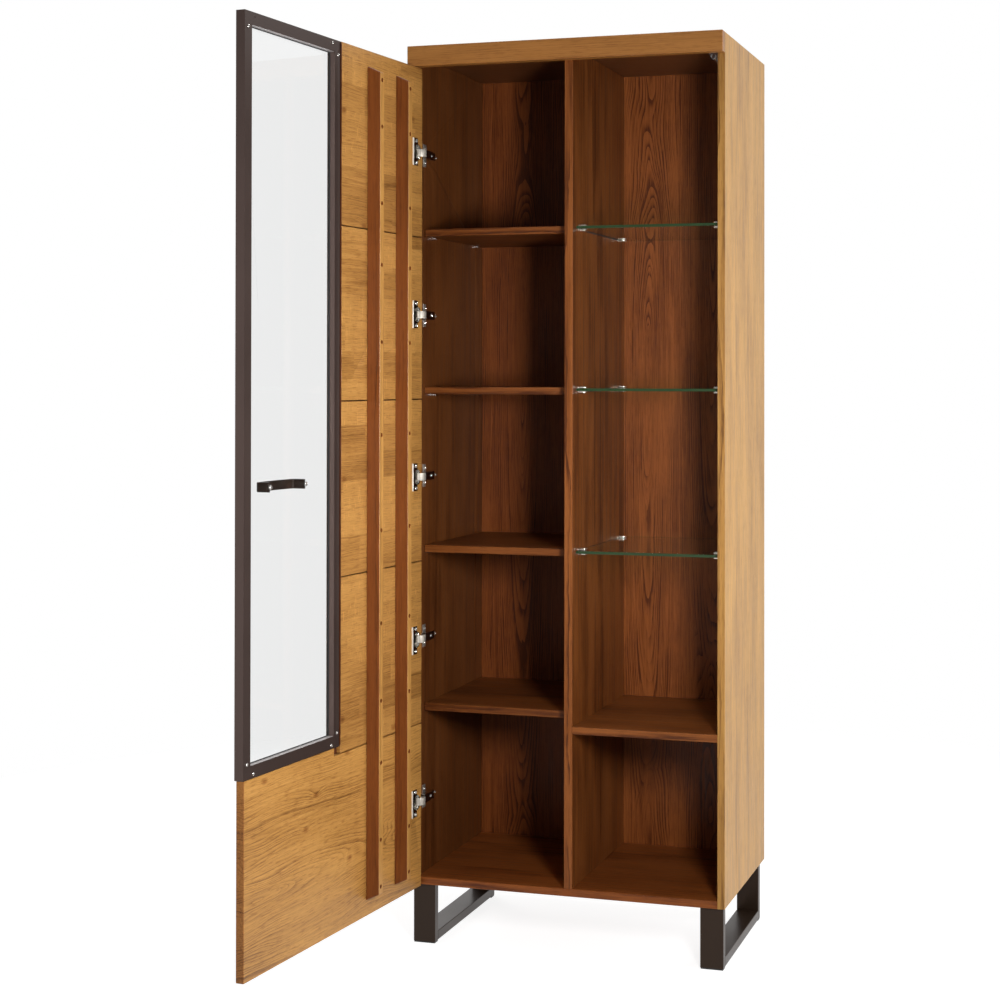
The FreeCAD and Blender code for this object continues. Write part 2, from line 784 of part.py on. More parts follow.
def frame_bar(node, length, upright, flipped):
    """One hollow, mitred bar of the frame, with a groove for the pane behind a thin front lip at y = 0.

    The section is drawn from the bar's outer side; flipped puts that side at the far end.
    """
    body = doc.addObject("PartDesign::Body", node)

    def across(text):
        return f"(frame_width - {text})" if flipped else text

    outer = "frame_width" if flipped else "0"
    inner = "0" if flipped else "frame_width"
    floor = across("(frame_width - groove_deep)")
    groove = "(frame_lip + pane_thick + 2 * pane_play)"
    section = [
        (outer, "0"),
        (inner, "0"),
        (inner, "frame_lip"),
        (floor, "frame_lip"),
        (floor, groove),
        (inner, groove),
        (inner, "frame_depth"),
        (outer, "frame_depth"),
    ]
    shoulder = across("(frame_width - groove_deep - frame_wall)")
    near = across("frame_wall")
    far = across("(frame_width - frame_wall)")
    chamber = [
        (near, "frame_wall"),
        (shoulder, "frame_wall"),
        (shoulder, f"{groove} + frame_wall"),
        (far, f"{groove} + frame_wall"),
        (far, "frame_depth - frame_wall"),
        (near, "frame_depth - frame_wall"),
    ]
    low_mitre = [(outer, "0"), (inner, "0"), (inner, "frame_width")]
    high_mitre = [(outer, length), (inner, length), (inner, f"{length} - frame_width")]
    sketch = sketch_on(body, "XY_Plane" if upright else "YZ_Plane")
    for corners in (section, chamber):
        outline(sketch, corners if upright else [(y, x) for x, y in corners])
    pad(body, sketch, length)
    mitres = sketch_on(body, "XZ_Plane")
    for corner in (low_mitre, high_mitre):
        outline(mitres, corner if upright else [(y, x) for x, y in corner])
    pocket(body, mitres, "frame_depth", False)
    return sub_part(body)


def corner_screw_places():
    """U and height of the frame's screws: one in the stile and one in the rail at each corner."""
    places = []
    for u, way in (("plank_width", "+"), (DOOR_WIDTH, "-")):
        for z, up in ((FRAME_BOTTOM, "+"), (DOOR_TOP, "-")):
            places.append((f"({u} {way} frame_width / 2)", f"({z} {up} corner_screw_in)"))
            places.append((f"({u} {way} corner_screw_rail_in)", f"({z} {up} corner_screw_rail)"))
    return places


def frame():
    front = "(frame_recess + frame_depth)"
    hole = ("corner_screw_diameter + screw_play", "corner_screw_bite + screw_play")
    low = "corner_screw_in"
    middle = "frame_width / 2"

    stile = ("frame_width", "frame_depth", FRAME_HEIGHT)
    stile_screws = [(middle, low), (middle, f"{FRAME_HEIGHT} - {low}")]
    hinge_stile = frame_bar("frame_hinge_stile", FRAME_HEIGHT, True, False)
    drill(hinge_stile, "back", stile, stile_screws, *hole)
    place_on_door(hinge_stile, "plank_width", front, FRAME_BOTTOM)
    free_stile = frame_bar("frame_free_stile", FRAME_HEIGHT, True, True)
    drill(free_stile, "back", stile, stile_screws, *hole)
    place_on_door(free_stile, f"{DOOR_WIDTH} - frame_width", front, FRAME_BOTTOM)

    rail = (FRAME_SPAN, "frame_depth", "frame_width")
    ends = ("corner_screw_rail_in", f"{FRAME_SPAN} - corner_screw_rail_in")
    bottom_rail = frame_bar("frame_bottom_rail", FRAME_SPAN, False, False)
    drill(bottom_rail, "back", rail, [(x, "corner_screw_rail") for x in ends], *hole)
    place_on_door(bottom_rail, "plank_width", front, FRAME_BOTTOM)
    top_rail = frame_bar("frame_top_rail", FRAME_SPAN, False, True)
    drill(top_rail, "back", rail, [(x, "frame_width - corner_screw_rail") for x in ends], *hole)
    place_on_door(top_rail, "plank_width", front, f"{DOOR_TOP} - frame_width")

    screws = []
    for u, z in corner_screw_places():
        screws.append(door_screw(
            "frame_screw", u, z, "frame_recess",
            "corner_screw_head", "corner_screw_high", "corner_screw_diameter", "corner_screw_bite",
        ))
    place_on_door(group("frame_corner_screws", screws))


def glazing():
    """The pane stands in the frame's groove, with a thin gasket round it on the inner side."""
    edge = "(frame_width - groove_deep + pane_play)"
    size = (f"({FRAME_SPAN} - 2 * {edge})", "pane_thick", f"({FRAME_HEIGHT} - 2 * {edge})")
    pane = block("door_glass", size)
    height = f"leg_height + handle_high - {FRAME_BOTTOM} - {edge}"
    holes = [(f"{size[0]} / 2 {way} handle_span / 2", height) for way in ("-", "+")]
    drill(pane, "back", size, holes, "handle_hole", "pane_thick")
    pane_front = f"{PANE_BACK} + pane_thick"
    place_on_door(pane, f"plank_width + {edge}", pane_front, f"{FRAME_BOTTOM} + {edge}")

    gasket = doc.addObject("PartDesign::Body", "glazing_gasket")
    ring = sketch_on(gasket, "XZ_Plane")
    wide = f"({FRAME_SPAN} - 2 * frame_width)"
    high = f"({FRAME_HEIGHT} - 2 * frame_width)"
    rectangle(ring, "0", "0", wide, high)
    rectangle(ring, "gasket", "gasket", f"{wide} - gasket", f"{high} - gasket")
    pad(gasket, ring, "gasket")
    gasket_front = f"{PANE_BACK} - gasket"
    place_on_door(gasket, "plank_width + frame_width", gasket_front, f"{FRAME_BOTTOM} + frame_width")
    sub_part(gasket)


def handle():
    """A flat bar bent to a bow, screwed on through the pane."""
    wide = "(handle_span + handle_thick)"
    far = f"({wide} - handle_thick)"
    body = doc.addObject("PartDesign::Body", "door_handle")
    bow = sketch_on(body, "XY_Plane")
    outline(bow, [
        ("0", "0"),
        (wide, "0"),
        (wide, "handle_reach"),
        (far, "handle_reach"),
        (far, "handle_thick"),
        ("handle_thick", "handle_thick"),
        ("handle_thick", "handle_reach"),
        ("0", "handle_reach"),
    ])
    pad(body, bow, "handle_width")
    round_edges(body, "handle_bend", lambda space: bow_edge(space, 0))
    round_edges(body, "handle_bend - handle_thick", lambda space: bow_edge(space, SIZES["handle_thick"]))
    size = (wide, "handle_reach", "handle_width")
    ends = ("handle_thick / 2", f"{wide} - handle_thick / 2")
    hole = ("handle_screw_diameter + screw_play", "handle_screw_bite + screw_play")
    drill(body, "back", size, [(x, "handle_width / 2") for x in ends], *hole)
    pane_front = f"({PANE_BACK} + pane_thick)"
    place_on_door(
        body, f"{PANE_MIDDLE} - {wide} / 2", f"{pane_front} + handle_reach",
        "leg_height + handle_high - handle_width / 2",
    )
    sub_part(body)

    screws = []
    for way in ("-", "+"):
        u = f"{PANE_MIDDLE} {way} handle_span / 2"
        screws.append(door_screw(
            "handle_screw", u, "leg_height + handle_high", PANE_BACK,
            "handle_screw_head", "handle_screw_high",
            "handle_screw_diameter", "pane_thick + handle_screw_bite",
        ))
    place_on_door(group("handle_screws", screws))


def bow_edge(space, y):
    """Whether an edge is one of the bow's two upright ones at this y."""
    return upright_edge(space) and abs(space.YMin - y) < TOUCH


# Concealed hinges: plates and arms on the left side, links between, cups in the door

def hinge_plates():
    plates = []
    screws = []
    for i in range(HINGE_COUNT):
        z = hinge_height(i)
        rail = box(
            "plate_rail", INNER_LEFT, f"{FRONT} + plate_front", f"{z} - plate_width / 2",
            "plate_rise", "plate_length", "plate_width",
        )
        wing = box(
            "plate_wing", INNER_LEFT, f"{FRONT} + plate_screw_in - plate_wing / 2", f"{z} - plate_span / 2",
            "plate_thick", "plate_wing", "plate_span",
        )
        holes = [rod(
            "plate_bore", f"{INNER_LEFT} + plate_rise - arm_screw_bite", f"{FRONT} + arm_screw_in", z,
            "screw_diameter + screw_play", "arm_screw_bite", ALONG_X,
        )]
        for way in ("-", "+"):
            spot = f"{z} {way} plate_screw_span / 2"
            y = f"{FRONT} + plate_screw_in"
            holes.append(rod(
                "plate_hole", INNER_LEFT, y, spot, "screw_diameter + screw_play", "plate_thick", ALONG_X
            ))
            head = rod(
                "plate_screw_head", f"{INNER_LEFT} + plate_thick", y, spot,
                "plate_screw_head", "plate_screw_high", ALONG_X,
            )
            stem = rod(
                "plate_screw_stem", f"{INNER_LEFT} - screw_bite", y, spot,
                "screw_diameter", "screw_bite + plate_thick", ALONG_X,
            )
            screws.append(fuse("plate_screw", [head, stem]))
        plates.append(cut("hinge_plate", fuse("plate_blank", [rail, wing]), holes))
    group("hinge_plates", plates)
    group("hinge_plate_screws", screws)


def hinge_arms():
    """Channels over the plates' rails, each with a tongue and a knuckle for the link's pin."""
    arms = []
    screws = []
    for i in range(HINGE_COUNT):
        z = hinge_height(i)
        top = f"{INNER_LEFT} + plate_rise"
        inner = "(plate_width + 2 * arm_play)"
        run = "(arm_rear - arm_front)"
        channel = box(
            "arm_channel", f"{top} - arm_skirt", f"{FRONT} + arm_front", f"{z} - {inner} / 2 - arm_wall",
            "arm_skirt + arm_wall", run, f"{inner} + 2 * arm_wall",
        )
        hollow = box(
            "arm_hollow", f"{top} - arm_skirt", f"{FRONT} + arm_front", f"{z} - {inner} / 2",
            "arm_skirt", run, inner,
        )
        tongue = box(
            "arm_tongue", top, AXIS_Y, f"{z} - knuckle_high / 2",
            "axis_in - plate_rise", "axis_out + arm_front + knuckle", "knuckle_high",
        )
        knuckle = rod("arm_knuckle", AXIS_X, AXIS_Y, f"{z} - knuckle_high / 2", "knuckle", "knuckle_high")
        bore = rod(
            "arm_bore", AXIS_X, AXIS_Y, f"{z} - knuckle_high / 2",
            "pivot_diameter + pivot_play", "knuckle_high",
        )
        screw_y = f"{FRONT} + arm_screw_in"
        hole = rod("arm_hole", top, screw_y, z, "screw_diameter + screw_play", "arm_wall", ALONG_X)
        blank = fuse("arm_blank", [cut("arm_shell", channel, [hollow]), tongue, knuckle])
        arms.append(cut("hinge_arm", blank, [bore, hole]))
        head = rod(
            "arm_screw_head", f"{top} + arm_wall", screw_y, z, "arm_screw_head", "arm_screw_high", ALONG_X
        )
        stem = rod(
            "arm_screw_stem", f"{top} - arm_screw_bite", screw_y, z,
            "screw_diameter", "arm_screw_bite + arm_wall", ALONG_X,
        )
        screws.append(fuse("arm_screw", [head, stem]))
    group("hinge_arms", arms)
    group("hinge_arm_screws", screws)


def hinge_links():
    """Cranked links, drawn with the arm's pin at the origin and the cup's pin on +X."""
    links = []
    for i in range(HINGE_COUNT):
        low = f"{hinge_height(i)} - link_high / 2"
        middle = f"{LINK_LENGTH} / 2"
        sunk = "-link_radius * cos(link_sweep / 2)"
        sector = doc.addObject("Part::Cylinder", "link_sector")
        bind(sector, Radius="link_radius + link_thick / 2", Height="link_high", Angle="link_sweep")
        place(sector, middle, sunk, low, "90 - link_sweep / 2")
        inside = rod("link_inside", middle, sunk, low, "2 * link_radius - link_thick", "link_high")
        band = cut("link_band", sector, [inside])
        near = rod("link_near_eye", "0", "0", low, "knuckle", "link_high")
        far = rod("link_far_eye", LINK_LENGTH, "0", low, "link_eye", "link_high")
        gap = "(knuckle_high + 2 * link_side_play)"
        slot = rod(
            "link_slot", "0", "0", f"{hinge_height(i)} - {gap} / 2", "knuckle + 2 * link_round_play", gap
        )
        bore = rod("link_bore", LINK_LENGTH, "0", low, "pivot_diameter + pivot_play", "link_high")
        blank = cut("link_blank", fuse("link_solid", [band, near, far]), [slot, bore])
        pin = rod("link_pin", "0", "0", low, "pivot_diameter", "link_high")
        links.append(fuse("hinge_link", [blank, pin]))
    place(group("hinge_links", links), AXIS_X, AXIS_Y, "0", "-link_turn")


def hinge_cups():
    cups = []
    screws = []
    for i in range(HINGE_COUNT):
        z = hinge_height(i)
        shell = rod("cup_shell", "cup_in", "-cup_deep", z, "cup_diameter", "cup_deep", ALONG_Y)
        flange = box(
            "cup_flange", "cup_in", "0", f"{z} - cup_flange_high / 2",
            "cup_flange_wide", "cup_flange", "cup_flange_high",
        )
        tools = [rod(
            "cup_hollow", "cup_in", "cup_wall - cup_deep", z,
            "cup_diameter - 2 * cup_wall", "cup_deep - cup_wall + cup_flange", ALONG_Y,
        )]
        u = "cup_in + cup_screw_in"
        for way in ("-", "+"):
            spot = f"{z} {way} cup_screw_span / 2"
            tools.append(rod("cup_hole", u, "0", spot, "screw_diameter + screw_play", "cup_flange", ALONG_Y))
            screws.append(door_screw(
                "cup_screw", u, spot, "-cup_flange", "plate_screw_head", "plate_screw_high",
                "screw_diameter", "cup_flange + screw_bite",
            ))
        half = "(cup_diameter / 2 - cup_wall)"
        reach = f"(sqrt({half} * {half} - (cup_in - cup_pin_in) * (cup_in - cup_pin_in)) + cup_pin_end)"
        pin = rod(
            "cup_pin", "cup_pin_in", "-cup_pin_deep", f"{z} - {reach}", "pivot_diameter", f"2 * {reach}"
        )
        cups.append(fuse("hinge_cup", [cut("cup_blank", fuse("cup_solid", [shell, flange]), tools), pin]))
    place_on_door(group("hinge_cups", cups))
    place_on_door(group("hinge_cup_screws", screws))


# Clear bumper that the closed door meets

def bumper():
    body = doc.addObject("PartDesign::Body", "corner_bumper")
    base = sketch_on(body, "XZ_Plane")
    outline(base, [("0", "bumper_high"), ("bumper_wide", "0"), ("bumper_wide", "bumper_high")])
    pad(body, base, "bumper_thick")
    middle = ("bumper_wide - bumper_ring_in", "bumper_high - bumper_ring_down")
    ring = sketch_on(body, "XZ_Plane", "bumper_thick")
    hole = sketch_on(body, "XZ_Plane", "bumper_thick + bumper_reach")
    for sketch, diameter in ((ring, "bumper_ring"), (hole, "bumper_hole")):
        circle = sketch.addGeometry(
            Part.Circle(FreeCAD.Vector(20, 20, 0), FreeCAD.Vector(0, 0, 1), 2.0), False
        )
        number = sketch.addConstraint(Sketcher.Constraint("Diameter", circle, 4.0))
        sketch.setExpression(f"Constraints[{number}]", cell(diameter))
        fix_point(sketch, circle, 3, *middle)
    pad(body, ring, "bumper_reach")
    pocket(body, hole, "bumper_reach", False)
    place(
        body, f"{INNER_RIGHT} - bumper_wide", f"{FRONT} + bumper_thick",
        f"{CARCASS_TOP} - fascia_height - bumper_high",
    )
    sub_part(body)


carcass()
shelves()
shelf_pins()
glass_clips()
legs()
leg_screws()
door_wood()
battens()
batten_screws()
frame()
glazing()
handle()
hinge_plates()
hinge_arms()
hinge_links()
hinge_cups()
bumper()
doc.recompute()

# Check everything before anything is written
for thing in doc.Objects:
    if "Invalid" in thing.State or "Error" in thing.State:
        raise ValueError(f"{thing.Label} failed: {thing.State}")
for node in nodes:
    if node.Shape.isNull() or not node.Shape.isValid() or not node.Shape.Solids:
        raise ValueError(node.Label + " has no valid solid")

os.makedirs("parts", exist_ok=True)
for node in nodes:
    node.Shape.exportStep(f"parts/{node.Label}.step")
print(len(nodes), "sub-parts,", sum(len(node.Shape.Solids) for node in nodes), "solids")
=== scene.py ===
"""Display cabinet with a plank and glass door: looks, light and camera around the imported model."""
import json
import math
import bmesh
import bpy
import numpy as np
from mathutils import Matrix, Vector


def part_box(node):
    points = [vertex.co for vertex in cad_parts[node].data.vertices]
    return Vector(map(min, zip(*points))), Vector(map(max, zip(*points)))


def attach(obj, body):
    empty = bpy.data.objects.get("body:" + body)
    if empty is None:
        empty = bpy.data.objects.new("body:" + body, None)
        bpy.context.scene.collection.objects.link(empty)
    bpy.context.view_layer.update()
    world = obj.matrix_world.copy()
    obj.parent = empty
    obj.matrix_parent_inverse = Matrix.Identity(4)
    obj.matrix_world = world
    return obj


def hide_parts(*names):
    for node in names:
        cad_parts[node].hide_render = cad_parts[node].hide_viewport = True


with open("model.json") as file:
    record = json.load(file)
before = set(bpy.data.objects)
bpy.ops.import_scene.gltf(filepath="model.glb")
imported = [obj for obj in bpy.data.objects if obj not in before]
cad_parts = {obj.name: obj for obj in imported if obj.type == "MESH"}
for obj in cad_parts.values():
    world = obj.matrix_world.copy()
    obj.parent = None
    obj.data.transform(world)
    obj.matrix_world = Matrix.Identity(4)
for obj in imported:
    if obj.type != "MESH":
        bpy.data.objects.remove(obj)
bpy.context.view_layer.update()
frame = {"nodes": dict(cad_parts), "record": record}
nodes = frame["nodes"]

# Places on the cabinet, in metres
SIDE_INNER = 0.3362
FRONT_EDGE = -0.2094
DIVIDER_MIDDLE = 0.010
BACK_REAR = 0.2065
BOARD_TOP = 1.9445
HINGES = np.array([0.314, 0.66725, 1.0205, 1.37375, 1.727])
LINK_PINS = ((-0.319, -0.211), (-0.326636, -0.228836))
ARM_LINE = -0.3262
GLASS_SHELVES = ("glass_shelf_1", "glass_shelf_2", "glass_shelf_3")
GLASS_TOPS = (0.865, 1.214, 1.563)
CLIP_DEPTHS = (-0.163, 0.151)
GLASS_BAY_SIDES = ((0.019, 1.0), (0.336, -1.0))

# The door's turn at rest, and places on it in metres from the hinge edge and the floor
DOOR_ANGLE = math.radians(95.43)
DOOR_ORIGIN = (-0.323, -0.217, 0.0)
DOOR_TURN = np.array(Matrix.Rotation(-DOOR_ANGLE, 3, "Z"))
TO_FREE_EDGE = (math.cos(DOOR_ANGLE), -math.sin(DOOR_ANGLE), 0.0)
INWARD = (math.sin(DOOR_ANGLE), math.cos(DOOR_ANGLE), 0.0)
DOOR_END = 0.6993
BATTEN_FACE = 0.0295
BATTEN_LINES = (0.113, 0.2365)
PLANK_GAPS = (0.483125, 0.836375, 1.189625, 1.542875)
STILE_LINES = (0.362, 0.688)
FRAME_MIDDLE = 0.525
LIP_HEIGHTS = (0.52205, 1.88785)
HANDLE_FEET = (0.461, 0.589)
HANDLE_HEIGHT = 1.029

# Finishes: colours are linear
OAK_LIGHT = (0.50, 0.245, 0.060)
OAK_PLANK = (0.430, 0.207, 0.051)
OAK_SIDE = (0.60, 0.315, 0.076)
OAK_RAIL = (0.390, 0.160, 0.034)
# End grain of the planks darkened as painted shade where the frame stands beside it
OAK_END_SHADE = (0.085, 0.022, 0.007)
OAK_GAP = (0.030, 0.008, 0.003)
OAK_DIVIDER = (0.224, 0.068, 0.0140)
OAK_INSIDE = (0.228, 0.063, 0.0120)
# The wood shelves all stand in the left bay; their oak is the inside oak darkened as painted shade of that
# bay
OAK_SHELF_SHADED = (0.172, 0.050, 0.0095)
# Darker inside tone of the wood together with painted shade, for the side panels' inner faces and the top's
# underside
INSIDE_TONE_AND_SHADE = (0.27, 0.17, 0.16, 1.0)
BATTEN_TINT = (0.39, 0.215, 0.14, 1.0)
FREE_END_TINT = (0.84, 0.68, 0.62, 1.0)
# Painted shade on the back panel in the left bay
LEFT_BAY_SHADE = (0.72, 0.66, 0.62, 1.0)
# Painted shade on the frame's faces that look away from its free edge
FRAME_SHADE = (0.34, 0.32, 0.31, 1.0)
PORE_STAIN = (0.55, 0.42, 0.34, 1.0)
FLECK_STAIN = (0.62, 0.52, 0.44, 1.0)
KNOT_STAIN = (0.50, 0.34, 0.22, 1.0)
DARK_SHEEN = (1.0, 0.80, 0.72, 1.0)
WHITE = (1.0, 1.0, 1.0, 1.0)

# Turns that bring the grain of a board to the X axis
GRAIN_X = (0.0, 0.0, 0.0)
GRAIN_Z = (0.0, math.radians(90.0), 0.0)
GRAIN_DOOR = (0.0, 0.0, DOOR_ANGLE)


def new_tree(name):
    """Material of that name with an empty node tree."""
    material = bpy.data.materials.new(name)
    material.use_nodes = True
    material.node_tree.nodes.clear()
    return material, material.node_tree


def add(tree, kind, inputs=None, **settings):
    """Shader node of one kind. Settings are its properties, and inputs are values or sockets by name or
    number.
    """
    node = tree.nodes.new("ShaderNode" + kind)
    for key, value in settings.items():
        setattr(node, key, value)
    for key, value in (inputs or {}).items():
        if isinstance(value, bpy.types.NodeSocket):
            tree.links.new(value, node.inputs[key])
        else:
            node.inputs[key].default_value = value
    return node


def math_node(tree, operation, first, second=0.0, third=0.0):
    """Result of one sum on one, two or three numbers or sockets."""
    return add(tree, "Math", {0: first, 1: second, 2: third}, operation=operation).outputs[0]


def place(tree, turn=(0, 0, 0), shift=(0, 0, 0), stretch=(1, 1, 1)):
    """Object coordinates, stretched, turned and then shifted."""
    coordinates = add(tree, "TexCoord").outputs["Object"]
    inputs = {"Vector": coordinates, "Rotation": turn, "Location": shift, "Scale": stretch}
    return add(tree, "Mapping", inputs).outputs[0]


def stretched(tree, vector, stretch):
    """A vector scaled by three factors."""
    return add(tree, "VectorMath", {0: vector, 1: stretch}, operation="MULTIPLY").outputs[0]


def noise(tree, vector, stretch, detail=2.0, roughness=0.5, twist=0.0):
    """Cloud noise from 0 to 1 on a stretched vector, bent by a twist."""
    inputs = {"Vector": stretched(tree, vector, stretch), "Scale": 1.0, "Detail": detail,
              "Roughness": roughness, "Distortion": twist}
    return add(tree, "TexNoise", inputs).outputs[0]


def spread(tree, value, low, high, new_low=0.0, new_high=1.0):
    """Value moved from one range to another, held at its ends."""
    inputs = {0: value, 1: low, 2: high, 3: new_low, 4: new_high}
    return add(tree, "MapRange", inputs, clamp=True).outputs[0]


def tint(colour, factor):
    """A colour times a factor or three factors, with full alpha."""
    return tuple(np.clip(np.array(colour[:3]) * np.array(factor), 0, 1)) + (1.0,)


def tones(tree, value, stops):
    """Colour ramp through (place, colour) stops."""
    ramp = add(tree, "ValToRGB", {0: value})
    elements = ramp.color_ramp.elements
    while len(elements) < len(stops):
        elements.new(0.5)
    for element, (position, colour) in zip(elements, stops):
        element.position = position
        element.color = colour
    return ramp.outputs[0]


def mixed(tree, blend, factor, first, second):
    """Two colours mixed by a factor in one blend mode."""
    inputs = {0: factor, 6: first, 7: second}
    return add(tree, "Mix", inputs, data_type="RGBA", blend_type=blend).outputs[2]


def stained(tree, mask, weight, skin, stain):
    """A skin multiplied by a stain where a mask is 1, up to a weight."""
    return mixed(tree, "MULTIPLY", math_node(tree, "MULTIPLY", mask, weight), skin, stain)


def surface(tree, inputs):
    """Principled surface joined to the material's output."""
    shader = add(tree, "BsdfPrincipled", inputs)
    add(tree, "OutputMaterial", {"Surface": shader.outputs[0]})


def glued_staves(tree, grain, along, across, width):
    """Glued strips of one width, cut into blocks that are butted end to end. Gives the grain, moved by a
    random jump in each block, the block's tone, and light flecks in the blocks that are cut along the
    wood's rays.
    """
    row = math_node(tree, "FLOOR", math_node(tree, "DIVIDE", across, width))
    start = add(tree, "TexWhiteNoise", {"W": row}, noise_dimensions="1D").outputs[0]
    start = math_node(tree, "MULTIPLY", start, 5.0)
    block = math_node(tree, "FLOOR", math_node(tree, "MULTIPLY_ADD", along, 3.3, start))
    spot = add(tree, "CombineXYZ", {0: row, 1: block}).outputs[0]
    chance = add(tree, "TexWhiteNoise", {"Vector": spot}, noise_dimensions="2D").outputs[0]
    tone = math_node(tree, "MULTIPLY_ADD", chance, 0.64, -0.32)
    jump = add(tree, "CombineXYZ", {0: math_node(tree, "MULTIPLY", chance, 7.0)}).outputs[0]
    grain = add(tree, "VectorMath", {0: grain, 1: jump}, operation="ADD").outputs[0]
    rays = spread(tree, noise(tree, grain, (170.0, 30.0, 30.0), 1.0, 0.5, 1.6), 0.60, 0.72)
    rays = math_node(tree, "MULTIPLY", rays, math_node(tree, "GREATER_THAN", chance, 0.58))
    return grain, tone, rays


def veneer_leaves(tree, along, across, width):
    """Leaves of veneer of one width, each the mirror of the next and cut at its own height. Gives the
    places along and across a leaf, and the leaf's tone.
    """
    row = math_node(tree, "FLOOR", math_node(tree, "DIVIDE", across, width))
    chance = add(tree, "TexWhiteNoise", {"W": row}, noise_dimensions="1D").outputs[0]
    tone = math_node(tree, "MULTIPLY_ADD", chance, 0.3, -0.15)
    along = math_node(tree, "MULTIPLY_ADD", chance, 5.0, along)
    across = math_node(tree, "SUBTRACT", math_node(tree, "PINGPONG", across, width), width * 0.5)
    return along, across, tone


def heart_distance(tree, grain, along, across, depth, spacing, swirl, arch):
    """Distance from the tree's heart: straight across the face, or, with an arch, the root of h * h + c * c,
    where c is the place across and h a heart line that rises and falls slowly along the face, which draws
    pointed arches. Slow noise makes the distance wander and swirl, and fine noise makes it shiver.
    """
    wander = math_node(tree, "SUBTRACT", noise(tree, grain, (2.0, 9.0, 9.0), 2.0), 0.5)
    shiver = math_node(tree, "SUBTRACT", noise(tree, grain, (16.0, 70.0, 70.0), 2.0), 0.5)
    if arch:
        rise = math_node(tree, "MULTIPLY_ADD", along, arch, math_node(tree, "MULTIPLY", wander, 0.05))
        heart = math_node(tree, "PINGPONG", rise, 0.05)
        across_square = math_node(tree, "MULTIPLY", across, across)
        distance = math_node(tree, "SQRT", math_node(tree, "MULTIPLY_ADD", heart, heart, across_square))
    else:
        distance = math_node(tree, "MULTIPLY_ADD", depth, 0.35, across)
    distance = math_node(tree, "MULTIPLY_ADD", wander, swirl, distance)
    return math_node(tree, "MULTIPLY_ADD", shiver, spacing * 0.5, distance)


def knot_distance(tree, along, across):
    """Distance to the nearest of the knots scattered over the face, as a share of their spacing."""
    inputs = {0: math_node(tree, "MULTIPLY", along, 3.1), 1: math_node(tree, "MULTIPLY", across, 5.2)}
    spot = add(tree, "CombineXYZ", inputs).outputs[0]
    cells = add(tree, "TexVoronoi", {"Vector": spot, "Scale": 1.0}, voronoi_dimensions="2D")
    return cells.outputs["Distance"]


def ring_lines(tree, grain, distance, spacing):
    """Growth rings from 0 to 1: each is a line that fades over one uneven step of the distance, is broken
    into dashes along the grain, and comes and goes over broad areas.
    """
    inputs = {"W": distance, "Scale": 0.3 / spacing, "Detail": 1.0}
    uneven = add(tree, "TexNoise", inputs, noise_dimensions="1D").outputs[0]
    uneven = math_node(tree, "MULTIPLY", uneven, 3.0)
    count = math_node(tree, "MULTIPLY_ADD", distance, 1.0 / spacing, uneven)
    fade = math_node(tree, "SUBTRACT", 1.0, math_node(tree, "FRACT", count))
    dashes = spread(tree, noise(tree, grain, (30.0, 420.0, 420.0), 2.0), 0.28, 0.52, 0.25, 1.0)
    swell = spread(tree, noise(tree, grain, (4.0, 19.0, 19.0), 1.0), 0.38, 0.62, 0.15, 1.0)
    weight = math_node(tree, "MULTIPLY", dashes, swell)
    return math_node(tree, "MULTIPLY", math_node(tree, "POWER", fade, 3.0), weight)


